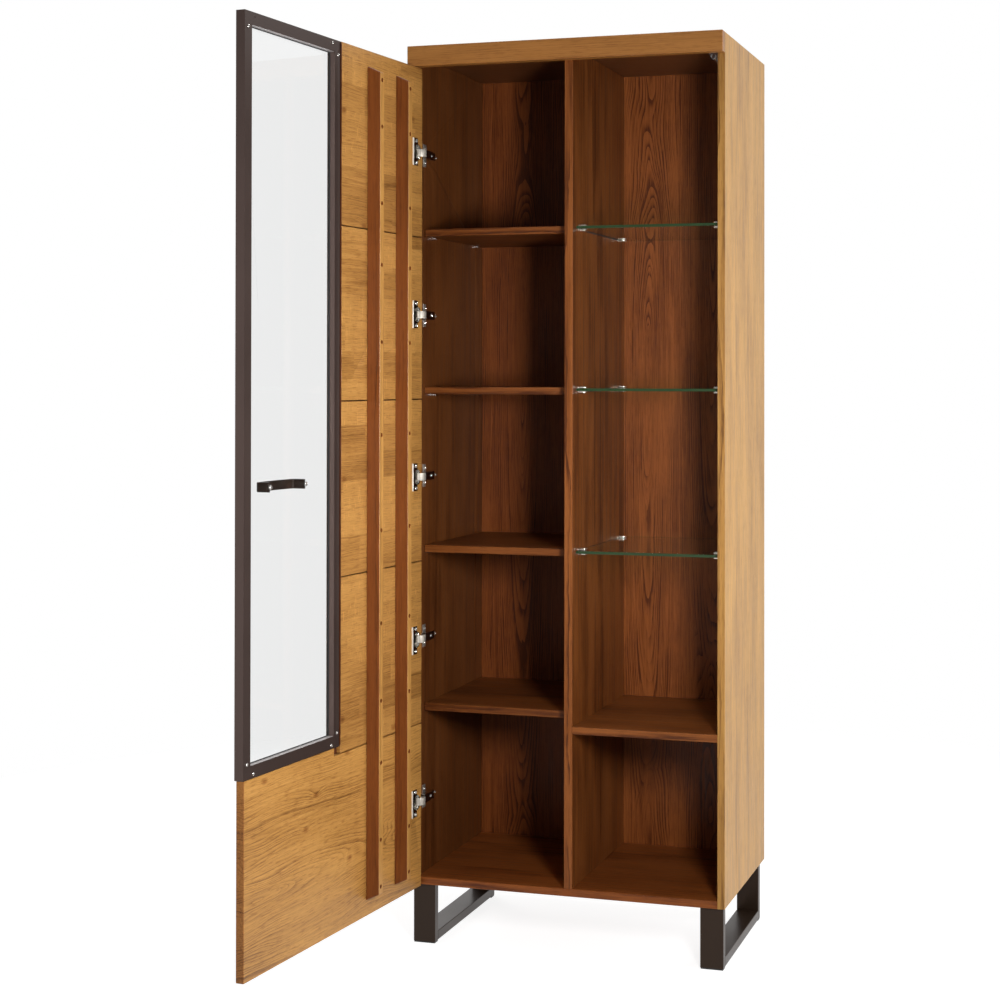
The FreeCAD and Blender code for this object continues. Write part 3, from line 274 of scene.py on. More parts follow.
def oak(name, turn, colour, shift=(0, 0, 0), face=1, spacing=0.008, swirl=0.02, contrast=0.6, arch=0.0,
        leaf=0.0, stave=0.0, knots=False, inner_side=None, inner_tint=INSIDE_TONE_AND_SHADE, gloss=0.5, ring=0.62,
        streak=0.5, fine=300.0, fleck=0.45):
    """Lacquered oak. After the turn its grain runs along axis 0, and its figure lies across axis 1 or 2, the
    face. Growth rings, streaks and a slow tone are weighed into one figure, which picks the colour from a
    ramp. Open pores, short flecks and knots are stained in; pores are rougher and sunk, and rings bend round
    knots. A stave or leaf width cuts the figure into glued staves or veneer leaves. The inner side, a
    function of the tree that gives 0 to 1, takes a tint. On the side panels, the top and the back panel the
    tint is painted shade, and on the side panels and the top it is also a darker inside tone of the wood.
    Ring, streak and fleck are weights, and fine is the number of streaks in a metre.
    """
    material, tree = new_tree(name)
    grain = place(tree, turn, shift)
    axes = add(tree, "SeparateXYZ", {0: grain}).outputs
    along, across, depth = axes[0], axes[face], axes[3 - face]
    board_tone = 0.0
    if stave:
        grain, board_tone, rays = glued_staves(tree, grain, along, across, stave)
    if leaf:
        along, across, board_tone = veneer_leaves(tree, along, across, leaf)
    distance = heart_distance(tree, grain, along, across, depth, spacing, swirl, arch)
    if knots:
        knot = knot_distance(tree, along, axes[face])
        near = spread(tree, knot, 0.0, 0.17, 1.0, 0.0)
        distance = math_node(tree, "MULTIPLY_ADD", math_node(tree, "MULTIPLY", near, near), 0.010, distance)
    lines = ring_lines(tree, grain, distance, spacing)
    tone = math_node(tree, "ADD", noise(tree, grain, (2.6, 13.0, 13.0), 2.0), board_tone)
    streaks = noise(tree, grain, (fine * 0.03, fine, fine), 3.0, 0.65)
    pores = spread(tree, noise(tree, grain, (42.0, 1500.0, 1500.0), 2.0), 0.60, 0.70)
    flecks = spread(tree, noise(tree, grain, (34.0, 400.0, 400.0), 2.0), 0.53, 0.66)
    figure = math_node(tree, "MULTIPLY_ADD", lines, -ring, math_node(tree, "MULTIPLY", streaks, streak))
    figure = math_node(tree, "MULTIPLY_ADD", tone, 0.44, figure)
    middle = 0.5 * streak + 0.22 - 0.10 * ring
    figure = math_node(tree, "MULTIPLY_ADD", figure, contrast, 0.60 - middle * contrast)
    stops = [(0.12, tint(colour, (0.40, 0.33, 0.27))), (0.42, tint(colour, (0.78, 0.74, 0.70))),
             (0.60, tint(colour, (1.02, 1.02, 1.02))), (0.84, tint(colour, (1.24, 1.30, 1.40)))]
    skin = tones(tree, figure, stops)
    skin = stained(tree, pores, 0.55, skin, PORE_STAIN)
    skin = stained(tree, flecks, fleck, skin, FLECK_STAIN)
    if stave:
        light = tint(colour, (1.7, 1.8, 2.0))
        skin = mixed(tree, "MIX", math_node(tree, "MULTIPLY", rays, 0.42), skin, light)
    if knots:
        core = spread(tree, knot, 0.012, 0.042, 1.0, 0.0)
        skin = stained(tree, core, 0.75, skin, KNOT_STAIN)
    if inner_side:
        skin = mixed(tree, "MULTIPLY", inner_side(tree), skin, inner_tint)
    height = math_node(tree, "MULTIPLY_ADD", pores, -0.7, math_node(tree, "MULTIPLY", streaks, 0.5))
    bump = add(tree, "Bump", {"Strength": 0.28, "Distance": 0.0003, "Height": height})
    roughness = math_node(tree, "MULTIPLY_ADD", pores, 0.16, spread(tree, streaks, 0.3, 0.7, 0.36, 0.47))
    surface(tree, {"Base Color": skin, "Roughness": roughness, "IOR": 1.5, "Specular IOR Level": gloss,
                   "Normal": bump.outputs[0]})
    return material


def between_sides_tone_and_shade(tree):
    """1 on the side panels' inner faces, for a darker inside tone and painted shade, a little on their front
    edges, as painted shade, and 0 outside.
    """
    axes = add(tree, "SeparateXYZ", {0: place(tree)}).outputs
    inside = math_node(tree, "LESS_THAN", math_node(tree, "ABSOLUTE", axes[0]), SIDE_INNER)
    # The front edges take part of the tint as painted shade
    front = math_node(tree, "MULTIPLY", math_node(tree, "LESS_THAN", axes[1], FRONT_EDGE), 0.38)
    return math_node(tree, "MAXIMUM", inside, front)


def left_bay_shade(tree):
    """1 on the back panel's front to the left of the divider, 0 to its right and behind: painted shade."""
    axes = add(tree, "SeparateXYZ", {0: place(tree)}).outputs
    left = math_node(tree, "LESS_THAN", axes[0], DIVIDER_MIDDLE)
    return math_node(tree, "MULTIPLY", left, math_node(tree, "LESS_THAN", axes[1], BACK_REAR))


def under_top_tone_and_shade(tree):
    """1 on the underside of the top panel, for a darker inside tone and painted shade, 0 above it."""
    z = add(tree, "SeparateXYZ", {0: place(tree)}).outputs[2]
    return math_node(tree, "LESS_THAN", z, BOARD_TOP)


def beside_face(tree):
    """1 on the sides of a batten, 0 on the face that looks away from the door."""
    inward = add(tree, "SeparateXYZ", {0: place(tree, GRAIN_DOOR, door_shift())}).outputs[1]
    return math_node(tree, "LESS_THAN", inward, BATTEN_FACE)


def free_end(tree):
    """1 on the door's free edge, 0 elsewhere on the door."""
    along = add(tree, "SeparateXYZ", {0: place(tree, GRAIN_DOOR, door_shift())}).outputs[0]
    return math_node(tree, "GREATER_THAN", along, DOOR_END)


def door_shift():
    """Shift that puts the door's hinge edge at the origin after the turn to the door's own axes."""
    return tuple(-(Matrix.Rotation(DOOR_ANGLE, 3, "Z") @ Vector(DOOR_ORIGIN)))


def coat(name, colour, roughness, grain_size, depth, metallic=0.0, variation=0.12, stretch=(1, 1, 1),
         gloss=0.5, sheen_tint=WHITE, lit_facing=None, shade_tint=None):
    """Painted, plated or moulded finish: cloud noise of one grain size shifts tone and roughness and raises
    a skin. With a lit direction given, only faces that look that way keep the colour, as a painted sheen,
    and the others take a darker tint as painted shade.
    """
    material, tree = new_tree(name)
    vector = place(tree)
    grains = noise(tree, vector, tuple(s / grain_size for s in stretch), 3.0)
    clouds = noise(tree, vector, (9.0, 9.0, 9.0), 2.0)
    level = math_node(tree, "MULTIPLY_ADD", grains, 0.6, math_node(tree, "MULTIPLY", clouds, 0.4))
    skin = tones(tree, level, [(0.3, tint(colour, 1.0 - variation)), (0.7, tint(colour, 1.0 + variation))])
    if lit_facing:
        normal = add(tree, "TexCoord").outputs["Normal"]
        turned = add(tree, "VectorMath", {0: normal, 1: lit_facing}, operation="DOT_PRODUCT").outputs["Value"]
        # Faces that look away from the lit direction are darkened: painted shade
        skin = mixed(tree, "MULTIPLY", math_node(tree, "LESS_THAN", turned, 0.7), skin, shade_tint)
    rough = spread(tree, level, 0.3, 0.7, roughness * 0.82, roughness * 1.18)
    bump = add(tree, "Bump", {"Strength": 0.3, "Distance": depth, "Height": grains})
    surface(tree, {"Base Color": skin, "Roughness": rough, "Metallic": metallic, "Normal": bump.outputs[0],
                   "Specular IOR Level": gloss, "Specular Tint": sheen_tint})
    return material


def clear(name, colour, ior, smear, body_colour=None, body_density=0.0):
    """See-through glass or plastic. Faint smears vary its gloss. Shadow rays pass, so lamps shine through
    it. A body colour absorbs light along the way through, so cut edges look darker and greener than faces.
    """
    material, tree = new_tree(name)
    clouds = noise(tree, place(tree), (14.0, 14.0, 14.0), 4.0)
    rough = spread(tree, clouds, 0.35, 0.75, smear * 0.2, smear)
    glass = add(tree, "BsdfPrincipled", {
        "Base Color": colour, "Roughness": rough, "IOR": ior, "Transmission Weight": 1.0})
    open_way = add(tree, "BsdfTransparent", {"Color": (0.86, 0.89, 0.87, 1.0)})
    shadow = add(tree, "LightPath").outputs["Is Shadow Ray"]
    both = add(tree, "MixShader", {0: shadow, 1: glass.outputs[0], 2: open_way.outputs[0]})
    output = add(tree, "OutputMaterial", {"Surface": both.outputs[0]})
    if body_colour:
        body = add(tree, "VolumeAbsorption", {"Color": body_colour, "Density": body_density})
        tree.links.new(body.outputs[0], output.inputs["Volume"])
    return material


def finish_node(name, material):
    """Gives a CAD node its material."""
    mesh = nodes[name].data
    mesh.materials.clear()
    mesh.materials.append(material)


def ease_edges(name, width, segments=2):
    """Eased edges on a board or tube: triangles joined, flat faces merged, sharp edges rounded."""
    modifiers = nodes[name].modifiers
    join = modifiers.new("join", "WELD")
    join.merge_threshold = 0.00002
    merge = modifiers.new("merge", "DECIMATE")
    merge.decimate_type = "DISSOLVE"
    merge.angle_limit = math.radians(1.0)
    ease = modifiers.new("ease", "BEVEL")
    ease.width = width
    ease.segments = segments
    ease.limit_method = "ANGLE"
    ease.angle_limit = math.radians(50.0)


# Oak boards of the carcass
SIDE = dict(turn=GRAIN_Z, face=1, spacing=0.006, swirl=0.03, contrast=1.1, streak=0.9, fine=170.0,
            inner_side=between_sides_tone_and_shade)
INSIDE = dict(turn=GRAIN_X, face=1, colour=OAK_INSIDE, gloss=0.25, contrast=1.9, streak=1.0, fine=150.0)
BATTEN = dict(turn=GRAIN_Z, face=1, colour=OAK_LIGHT, contrast=0.7, streak=0.9, inner_side=beside_face,
              inner_tint=BATTEN_TINT)
BOARDS = {
    "left_side_panel": dict(SIDE, colour=OAK_LIGHT, shift=(0.3, 0.7, 0.2), gloss=0.25, contrast=1.6,
                            fine=80.0),
    "right_side_panel": dict(SIDE, colour=OAK_SIDE, shift=(1.1, 0.2, 0.5), gloss=0.3),
    # The top's underside takes the inside tone with painted shade
    "top_panel": dict(turn=GRAIN_X, colour=OAK_LIGHT, shift=(0.9, 0.4, 0.1), inner_side=under_top_tone_and_shade),
    "top_front_rail": dict(turn=GRAIN_X, face=2, colour=OAK_RAIL, shift=(0.2, 0.9, 0.6), spacing=0.006,
                           streak=0.8, fine=170.0),
    "bottom_panel": dict(INSIDE, shift=(0.5, 0.3, 0.8)),
    "centre_divider": dict(INSIDE, turn=GRAIN_Z, colour=OAK_DIVIDER, shift=(0.7, 0.6, 0.4), contrast=2.4,
                           fine=80.0),
    # The back panel's left bay is darkened as painted shade
    "back_panel": dict(INSIDE, turn=GRAIN_Z, face=2, arch=0.05, leaf=0.155, spacing=0.0034, swirl=0.022,
                       contrast=1.35, ring=1.15, streak=0.8, fine=170.0, inner_side=left_bay_shade,
                       inner_tint=LEFT_BAY_SHADE),
    "fixed_shelf": dict(INSIDE, colour=OAK_DIVIDER, shift=(0.1, 0.5, 0.9)),
    # Wood shelves: inside oak darkened as painted shade of the left bay
    "wood_shelf_1": dict(INSIDE, colour=OAK_SHELF_SHADED, shift=(0.4, 0.1, 0.3)),
    "wood_shelf_2": dict(INSIDE, colour=OAK_SHELF_SHADED, shift=(0.8, 0.2, 0.7)),
    "wood_shelf_3": dict(INSIDE, colour=OAK_SHELF_SHADED, shift=(1.2, 0.8, 0.1)),
    "wood_shelf_4": dict(INSIDE, colour=OAK_SHELF_SHADED, shift=(1.6, 0.5, 0.4)),
    "door_batten_1": dict(BATTEN, shift=(0.6, 0.3, 0.9)),
    "door_batten_2": dict(BATTEN, shift=(1.3, 0.9, 0.2)),
}
for name, values in BOARDS.items():
    finish_node(name, oak("oak_" + name, **values))
    ease_edges(name, 0.0018 if name == "centre_divider" else 0.0008)

# Oak boards of the door: the bottom panel first, then the planks from below
DOOR_BOARDS = ("door_bottom_panel", "door_plank_1", "door_plank_2", "door_plank_3", "door_plank_4")
DOOR_OAK = dict(turn=GRAIN_DOOR, face=2, contrast=1.05, knots=True, fleck=0.66, streak=0.75, fine=210.0,
                gloss=0.34, inner_side=free_end, inner_tint=FREE_END_TINT)
for i, name in enumerate(DOOR_BOARDS):
    shift = door_shift()
    if i == 0:
        shift = (shift[0] + 0.2, shift[1], -0.27)
        figure = dict(colour=OAK_LIGHT, spacing=0.0050, swirl=0.075, ring=0.52, arch=0.11)
    else:
        shift = (shift[0] + 0.77 * i, shift[1] + 0.05 * i, shift[2] + 0.13 * i)
        figure = dict(colour=OAK_PLANK, spacing=0.0040, swirl=0.06, ring=0.40, stave=0.056)
    finish_node(name, oak("oak_" + name, shift=shift, **DOOR_OAK, **figure))
    ease_edges(name, 0.0006)
tongue_oak = oak("oak_plank_tongues", GRAIN_DOOR, OAK_GAP, door_shift(), 2, gloss=0.2)
# Dark end grain of the planks together with painted shade of the frame
end_oak_shade = oak("oak_plank_ends_shaded", GRAIN_Z, OAK_END_SHADE, door_shift(), 1, gloss=0.2)

# Metal, glass, plastic and rubber
# The frame coat keeps its lighter colour on faces toward the free edge as a painted sheen, and is darker
# elsewhere as painted shade
dark_metal = coat("dark_powder_coat_with_painted_sheen", (0.100, 0.069, 0.061), 0.40, 0.0006, 0.00004, gloss=0.35,
                  sheen_tint=DARK_SHEEN, lit_facing=TO_FREE_EDGE, shade_tint=FRAME_SHADE)
leg_metal = coat("dark_leg_coat", (0.025, 0.015, 0.009), 0.34, 0.0006, 0.00004, gloss=0.28,
                 sheen_tint=DARK_SHEEN)
handle_metal = coat("dark_handle_coat", (0.014, 0.009, 0.007), 0.36, 0.0006, 0.00004, gloss=0.35,
                    sheen_tint=DARK_SHEEN)
lip_metal = coat("bright_frame_lip", (0.42, 0.38, 0.375), 0.30, 0.0008, 0.00002)
dull_chrome = coat("dull_chrome_plate", (0.46, 0.44, 0.42), 0.16, 0.002, 0.00001, 1.0, 0.06)
satin_chrome = coat("satin_chrome_plate", (0.86, 0.82, 0.74), 0.26, 0.002, 0.00001, 1.0, 0.05)
glass_edge = coat("polished_glass_edge", (0.026, 0.055, 0.021), 0.22, 0.012, 0.00001, gloss=0.3)
chrome = coat("chrome_plate", (0.80, 0.80, 0.80), 0.09, 0.004, 0.00001, 1.0, 0.03)
nickel = coat("nickel_plate", (0.66, 0.64, 0.60), 0.17, 0.0012, 0.00002, 1.0, 0.08)
satin_nickel = coat("satin_nickel_plate", (0.50, 0.46, 0.40), 0.50, 0.0012, 0.00002, 0.5, 0.06)
plate_nickel = coat("brushed_nickel_plate", (0.56, 0.53, 0.48), 0.30, 0.0012, 0.00002, 0.80, 0.06)
bright_nickel = coat("bright_nickel_rim", (0.90, 0.86, 0.78), 0.34, 0.0012, 0.00002, 0.2, 0.04)
zinc = coat("zinc_plate", (0.50, 0.50, 0.50), 0.36, 0.0008, 0.00003, 1.0, 0.12)
black_plastic = coat("black_moulded_plastic", (0.022, 0.022, 0.022), 0.5, 0.0007, 0.00005)
black_rubber = coat("black_extruded_rubber", (0.020, 0.020, 0.021), 0.7, 0.0005, 0.00005,
                    stretch=(1, 1, 0.05))
door_pane = clear("door_pane_glass", (0.888, 0.893, 0.891, 1.0), 1.22, 0.03)
shelf_glass = clear("shelf_glass", (0.94, 0.96, 0.95, 1.0), 1.5, 0.03, (0.55, 0.90, 0.62, 1.0), 4.5)
clear_plastic = clear("clear_moulded_plastic", (0.93, 0.93, 0.93, 1.0), 1.47, 0.2)
FINISHES = {"dark_metal": dark_metal, "chrome_fittings": chrome, "nickel_hinges": nickel,
            "zinc_screws": zinc, "black_plastic": black_plastic, "black_rubber": black_rubber,
            "clear_plastic": clear_plastic, "clear_glass": shelf_glass}
for part in frame["record"]["subparts"]:
    if part["material_slot"] in FINISHES:
        finish_node(part["node"], FINISHES[part["material_slot"]])
    if "leg_" in part["node"] and part["material_slot"] == "dark_metal":
        finish_node(part["node"], leg_metal)
finish_node("door_glass", door_pane)
finish_node("hinge_links", satin_nickel)
finish_node("hinge_plates", plate_nickel)
finish_node("hinge_arms", chrome)
for name in ("hinge_cups", "hinge_plates", "hinge_arms", "hinge_links"):
    ease_edges(name, 0.0004)
for name in ("frame_hinge_stile", "frame_free_stile", "frame_bottom_rail", "frame_top_rail"):
    ease_edges(name, 0.0006)


# New pieces, in metres

def door_points(u, v, z):
    """Points of the door's own axes (u from the hinge edge, v outward, z up) in the cabinet's frame."""
    x = DOOR_ORIGIN[0] + u * math.cos(DOOR_ANGLE) - v * math.sin(DOOR_ANGLE)
    y = DOOR_ORIGIN[1] - u * math.sin(DOOR_ANGLE) - v * math.cos(DOOR_ANGLE)
    return np.stack(np.broadcast_arrays(x, y, z), axis=-1)


def grid_faces(rows, columns):
    """Quads of a grid of points, row by row, whose last column is joined to the first."""
    row = np.arange(rows - 1)[:, None] * columns
    column = np.arange(columns)[None, :]
    beside = (column + 1) % columns
    corners = (row + column, row + beside, row + columns + beside, row + columns + column)
    return np.stack(corners, axis=-1).reshape(-1, 4)


def piece(name, grids, material, body, replaced=()):
    """One piece from closed point grids (rows, columns, 3), whose columns go round: doubles at poles are
    merged, faces turned outwards and shaded smooth, and the piece rides on a body in place of the CAD nodes
    it shows.
    """
    faces = []
    first = 0
    for grid in grids:
        faces.append(grid_faces(grid.shape[0], grid.shape[1]) + first)
        first += grid.shape[0] * grid.shape[1]
    points = np.concatenate([grid.reshape(-1, 3) for grid in grids])
    mesh = bpy.data.meshes.new(name)
    mesh.from_pydata(points.tolist(), [], np.concatenate(faces).tolist())
    work = bmesh.new()
    work.from_mesh(mesh)
    bmesh.ops.remove_doubles(work, verts=work.verts, dist=1e-6)
    bmesh.ops.dissolve_degenerate(work, edges=work.edges, dist=1e-7)
    bmesh.ops.recalc_face_normals(work, faces=work.faces)
    work.to_mesh(mesh)
    work.free()
    mesh.shade_smooth()
    mesh.set_sharp_from_angle(angle=math.radians(35.0))
    mesh.materials.append(material)
    made = bpy.data.objects.new(name, mesh)
    bpy.context.collection.objects.link(made)
    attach(made, body)
    if replaced:
        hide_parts(*replaced)


def power(value, exponent):
    """Value raised to an exponent, with its sign kept."""
    return np.sign(value) * np.abs(value) ** exponent


def pillow(size, square=5.0, flat=None, rows=13, columns=32):
    """Block with rounded edges, as a superellipsoid: x = a cos(p) cos(t), y = b cos(p) sin(t),
    z = c sin(p), where each cosine and sine of t is raised to 2 / square and each of p to 2 / flat, with its
    sign kept.
    """
    rise = np.linspace(-math.pi / 2, math.pi / 2, rows)[:, None]
    turn = np.linspace(0.0, 2.0 * math.pi, columns, endpoint=False)[None, :]
    k = 2.0 / square
    j = 2.0 / (flat or square)
    x = power(np.cos(rise), j) * power(np.cos(turn), k)
    y = power(np.cos(rise), j) * power(np.sin(turn), k)
    z = power(np.sin(rise), j) * np.ones_like(turn)
    return np.stack((x, y, z), axis=-1) * np.array(size) / 2.0


def bar(size, square=14.0, flat=None):
    """Pillow with nearly sharp edges, turned so that its x runs along the door."""
    return pillow(size, square, flat) @ DOOR_TURN.T


def screw(head, high, stem, length, rings=11, columns=40):
    """Round-headed screw with a cross slot, the underside of its head at z = 0 and the head above: a profile
    of radii and heights is turned about z, and the cross sinks the dome where either axis lies within the
    slot's half width and reach.
    """
    turn = np.linspace(0.0, 2.0 * math.pi, columns, endpoint=False)[None, :]
    radius = np.linspace(0.0, 1.0, rings)[:, None] * head / 2.0
    dome = high * (0.35 + 0.65 * np.sqrt(np.clip(1.0 - (2.0 * radius / head) ** 2, 0.0, 1.0)))
    x, y = radius * np.cos(turn), radius * np.sin(turn)
    wide, reach, soft = head * 0.075, head * 0.29, head * 0.05
    thin_x, thin_y = (np.clip((wide - np.abs(v)) / soft + 0.5, 0, 1) for v in (x, y))
    long_x, long_y = (np.clip((reach - np.abs(v)) / soft + 0.5, 0, 1) for v in (x, y))
    height = dome - 0.62 * high * np.maximum(thin_x * long_y, thin_y * long_x)
    top = np.stack((x, y, height), axis=-1)
    low = np.array([(head / 2, 0.0), (stem / 2, 0.0), (stem / 2, -0.8 * length), (0.0, -length)])
    radius, height = low[:, :1], low[:, 1:] * np.ones_like(turn)
    ring = np.stack((radius * np.cos(turn), radius * np.sin(turn), height), axis=-1)
    return np.concatenate((top, ring))


def stand(grid, spots, axis):
    """Copies of a point grid at spots, with its z turned to an axis."""
    turn = np.array(Vector(axis).to_track_quat("Z", "X").to_matrix())
    return [grid @ turn.T + spot for spot in spots]


def screws():
    """Cross-slotted screws in the battens, the frame's corners, the handle and the hinges."""
    rows = ((-0.123, -0.027, 0.131), (-0.095, 0.064), (-0.098, 0.098), (-0.064, 0.095),
            (-0.131, 0.027, 0.123))
    heights = np.concatenate([HINGES[i] + np.array(row) for i, row in enumerate(rows)])
    spots = door_points(np.repeat(BATTEN_LINES, heights.size), -0.021, np.tile(heights, 2))
    grids = stand(screw(0.008, 0.003, 0.004, 0.031), spots, INWARD)
    piece("batten_screws", grids, zinc, "door", ["door_batten_screws"])
    corners = [(u, z) for u in STILE_LINES for z in (0.526875, 1.883)]
    corners += [(0.384, 0.505875), (0.384, 1.904), (0.666, 0.505875)]
    corners = np.array(corners)
    spots = door_points(corners[:, 0], 0.002, corners[:, 1])
    grids = stand(screw(0.007, 0.0022, 0.003, 0.008), spots, INWARD)
    piece("corner_screws", grids, dull_chrome, "door", ["frame_corner_screws"])
    spots = door_points(np.array(HANDLE_FEET), 0.015, HANDLE_HEIGHT)
    grids = stand(screw(0.009, 0.003, 0.003, 0.016), spots, INWARD)
    piece("handle_bolts", grids, dull_chrome, "door", ["handle_screws"])
    pairs = np.concatenate((HINGES - 0.024, HINGES + 0.024))
    grids = stand(screw(0.0076, 0.002, 0.004, 0.0112), door_points(0.0285, -0.0012, pairs), INWARD)
    piece("cup_screws", grids, nickel, "door", ["hinge_cup_screws"])
    pairs = np.concatenate((HINGES - 0.016, HINGES + 0.016))
    spots = np.stack(np.broadcast_arrays(-0.334, -0.173, pairs), axis=-1)
    grids = stand(screw(0.0076, 0.002, 0.004, 0.012), spots, (1, 0, 0))
    piece("plate_screws", grids, nickel, "cabinet", ["hinge_plate_screws"])
    spots = np.stack(np.broadcast_arrays(-0.321, -0.166, HINGES), axis=-1)
    grids = stand(screw(0.007, 0.0015, 0.004, 0.0095), spots, (1, 0, 0))
    piece("arm_screws", grids, nickel, "cabinet", ["hinge_arm_screws"])


def glass_clips():
    """Chrome clips on the glass shelves: two rounded jaws and a rounded back, one pillow each."""
    jaw = pillow((0.018, 0.018, 0.0042))
    back = pillow((0.0012, 0.0175, 0.0142), 9.0)
    grids = []
    for top in GLASS_TOPS:
        middle = top - 0.003
        for y in CLIP_DEPTHS:
            for x, way in GLASS_BAY_SIDES:
                grids.extend(jaw + (x + way * 0.009, y, middle + lift) for lift in (-0.0051, 0.0053))
                grids.append(back + (x + way * 0.0006, y, middle + 0.0001))
    piece("shelf_clips", grids, satin_chrome, "cabinet", ["glass_shelf_clips"])


def handle():
    """Bow handle: a rounded flat section carried along half a superellipse, u = a cos(t), v = b sin(t),
    each raised to 2 / 16, from one foot on the pane to the other, with the grip bowed outwards by a
    parabola.
    """
    k = 2.0 / 16.0
    leg = np.arcsin(np.linspace(0.0, 0.97, 14) ** (1.0 / k))
    grip = np.arccos(power(np.linspace(0.97, -0.97, 41), 1.0 / k))
    turn = np.concatenate((leg, grip, math.pi - leg[::-1]))
    across, out = 0.064 * power(np.cos(turn), k), 0.0275 * power(np.sin(turn), k)
    path = np.stack((across, out * (1.0 + 0.13 * (1.0 - (across / 0.064) ** 2))), axis=-1)
    step = np.gradient(path, axis=0)
    step /= np.linalg.norm(step, axis=1, keepdims=True)
    side = np.stack((step[:, 1], -step[:, 0]), axis=-1)
    round_turn = np.linspace(0.0, 2.0 * math.pi, 28, endpoint=False)
    thick = 0.0025 * power(np.cos(round_turn), 2.0 / 5.0)
    high = 0.0095 * power(np.sin(round_turn), 2.0 / 8.0)
    spots = path[:, None, :] + side[:, None, :] * thick[None, :, None]
    heights = HANDLE_HEIGHT + np.broadcast_to(high, spots.shape[:2])
    grid = door_points(FRAME_MIDDLE + spots[:, :, 0], 0.0190 + spots[:, :, 1], heights)
    ends = [np.repeat(grid[i].mean(axis=0)[None, None, :], grid.shape[1], axis=1) for i in (0, -1)]
    grid = np.concatenate((ends[0], grid, ends[1]))
    piece("bow_handle", [grid], handle_metal, "door", ["door_handle"])


def plank_joints():
    """Loose tongues in the open joints between the planks, and a dark strip at the planks' ends and a dark
    block under the frame's corner: oak end grain darkened as painted shade of the frame.
    """
    tongue = bar((0.3495, 0.005, 0.0025))
    grids = [tongue + door_points(0.175, 0.0105, gap) for gap in PLANK_GAPS]
    piece("plank_tongues", grids, tongue_oak, "door")
    # Dark oak where the frame shades the planks' ends: painted shade
    shade_pad = bar((0.0245, 0.006, 0.0145)) + door_points(0.36245, 0.0115, 0.4899)
    shade_band = bar((0.003, 0.0022, 1.4130)) + door_points(0.3517, 0.0007, 1.2052)
    piece("plank_end_shade_band", [shade_pad, shade_band], end_oak_shade, "door")


def glass_edges():
    """Green polished front and rear edges of the glass shelves, and dark strips along their sides that paint
    the shade line where the glass meets the bay's walls, all as thin strips with rounded edges.
    """
    grids, shade_strips = [], []
    # Dark strips along the glass sides: a painted shade line
    shade_strip = pillow((0.0016, 0.290, 0.0078), 14.0)
    for name in GLASS_SHELVES:
        low, high = (np.array(corner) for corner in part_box(name))
        middle = (low + high) / 2.0
        edge = pillow((high[0] - low[0], 0.0008, high[2] - low[2]), 14.0)
        grids.extend(edge + (middle[0], y, middle[2]) for y in (low[1] - 0.0002, high[1] + 0.0002))
        shade_strips.extend(shade_strip + (x, -0.006, middle[2] - 0.0010) for x in (low[0] - 0.0006, high[0] + 0.0006))
    piece("glass_shelf_edges", grids, glass_edge, "cabinet")
    piece("glass_shelf_shade_strips", shade_strips, black_plastic, "cabinet")


def frame_lips():
    """Bright lips inside the top and bottom rails, as thin strips with rounded edges."""
    lip = bar((0.302, 0.0115, 0.0006))
    grids = [lip + door_points(FRAME_MIDDLE, 0.0085, z) for z in LIP_HEIGHTS]
    piece("frame_lips", grids, lip_metal, "door")


def hinge_fittings():
    """Rims of the cups' flanges, the links' barrels on their two pins and the adjusting rods of the
    arms.
    """
    rim = bar((0.0024, 0.0032, 0.060), 6.0, 14.0)
    grids = [rim + door_points(0.0447, -0.0014, z) for z in HINGES]
    piece("cup_rims", grids, bright_nickel, "door")
    barrel = pillow((0.0062, 0.0062, 0.0164), 2.0, 10.0)
    grids = [barrel + np.array((x, y, z)) for x, y in LINK_PINS for z in HINGES]
    piece("link_barrels", grids, satin_nickel, "hinge_linkage")
    rod = pillow((0.0046, 0.0046, 0.024), 2.0, 8.0)
    ball = pillow((0.0066, 0.0066, 0.006), 2.0, 3.0)
    grids = stand(rod, [np.array((ARM_LINE, -0.140, z)) for z in HINGES], (0, 1, 0))
    grids += stand(ball, [np.array((ARM_LINE, -0.131, z)) for z in HINGES], (0, 1, 0))
    piece("arm_rods", grids, satin_chrome, "cabinet")


screws()
glass_clips()
handle()
plank_joints()
glass_edges()
frame_lips()
hinge_fittings()


def lamp(name, spot, aim, size, watts, beam=180.0):
    """Soft box lamp of a size in metres, that looks at a point and spreads over a beam angle."""
    light = bpy.data.lights.new(name, "AREA")
    light.shape = "RECTANGLE"
    light.size, light.size_y = size
    light.energy = watts
    light.spread = math.radians(beam)
    holder = bpy.data.objects.new(name, light)
    holder.location = spot
    holder.rotation_euler = (Vector(aim) - Vector(spot)).to_track_quat("-Z", "Y").to_euler()
    holder.visible_camera = False
    holder.visible_transmission = False
    bpy.context.collection.objects.link(holder)


def surround():
    """White surround for camera and glass rays, and for mirror rays that go to the back; dim in mirrors to
    the front, and a faint fill for the rays that light the object.
    """
    world = bpy.data.worlds.new("studio")
    bpy.context.scene.world = world
    world.use_nodes = True
    tree = world.node_tree
    tree.nodes.clear()
    white = add(tree, "Background", {"Color": WHITE, "Strength": 1.0})
    fill = add(tree, "Background", {"Color": (1.0, 0.98, 0.96, 1), "Strength": 0.14})
    path = add(tree, "LightPath").outputs
    back = add(tree, "SeparateXYZ", {0: add(tree, "TexCoord").outputs["Generated"]}).outputs[1]
    shown_back = spread(tree, back, -0.45, 0.15, 0.12, 1.0)
    mirrored = math_node(tree, "MULTIPLY", path["Is Glossy Ray"], shown_back)
    seen = math_node(tree, "MAXIMUM", path["Is Camera Ray"], path["Is Transmission Ray"])
    shown = math_node(tree, "MAXIMUM", seen, mirrored)
    both = add(tree, "MixShader", {0: shown, 1: fill.outputs[0], 2: white.outputs[0]})
    add(tree, "OutputWorld", {"Surface": both.outputs[0]})


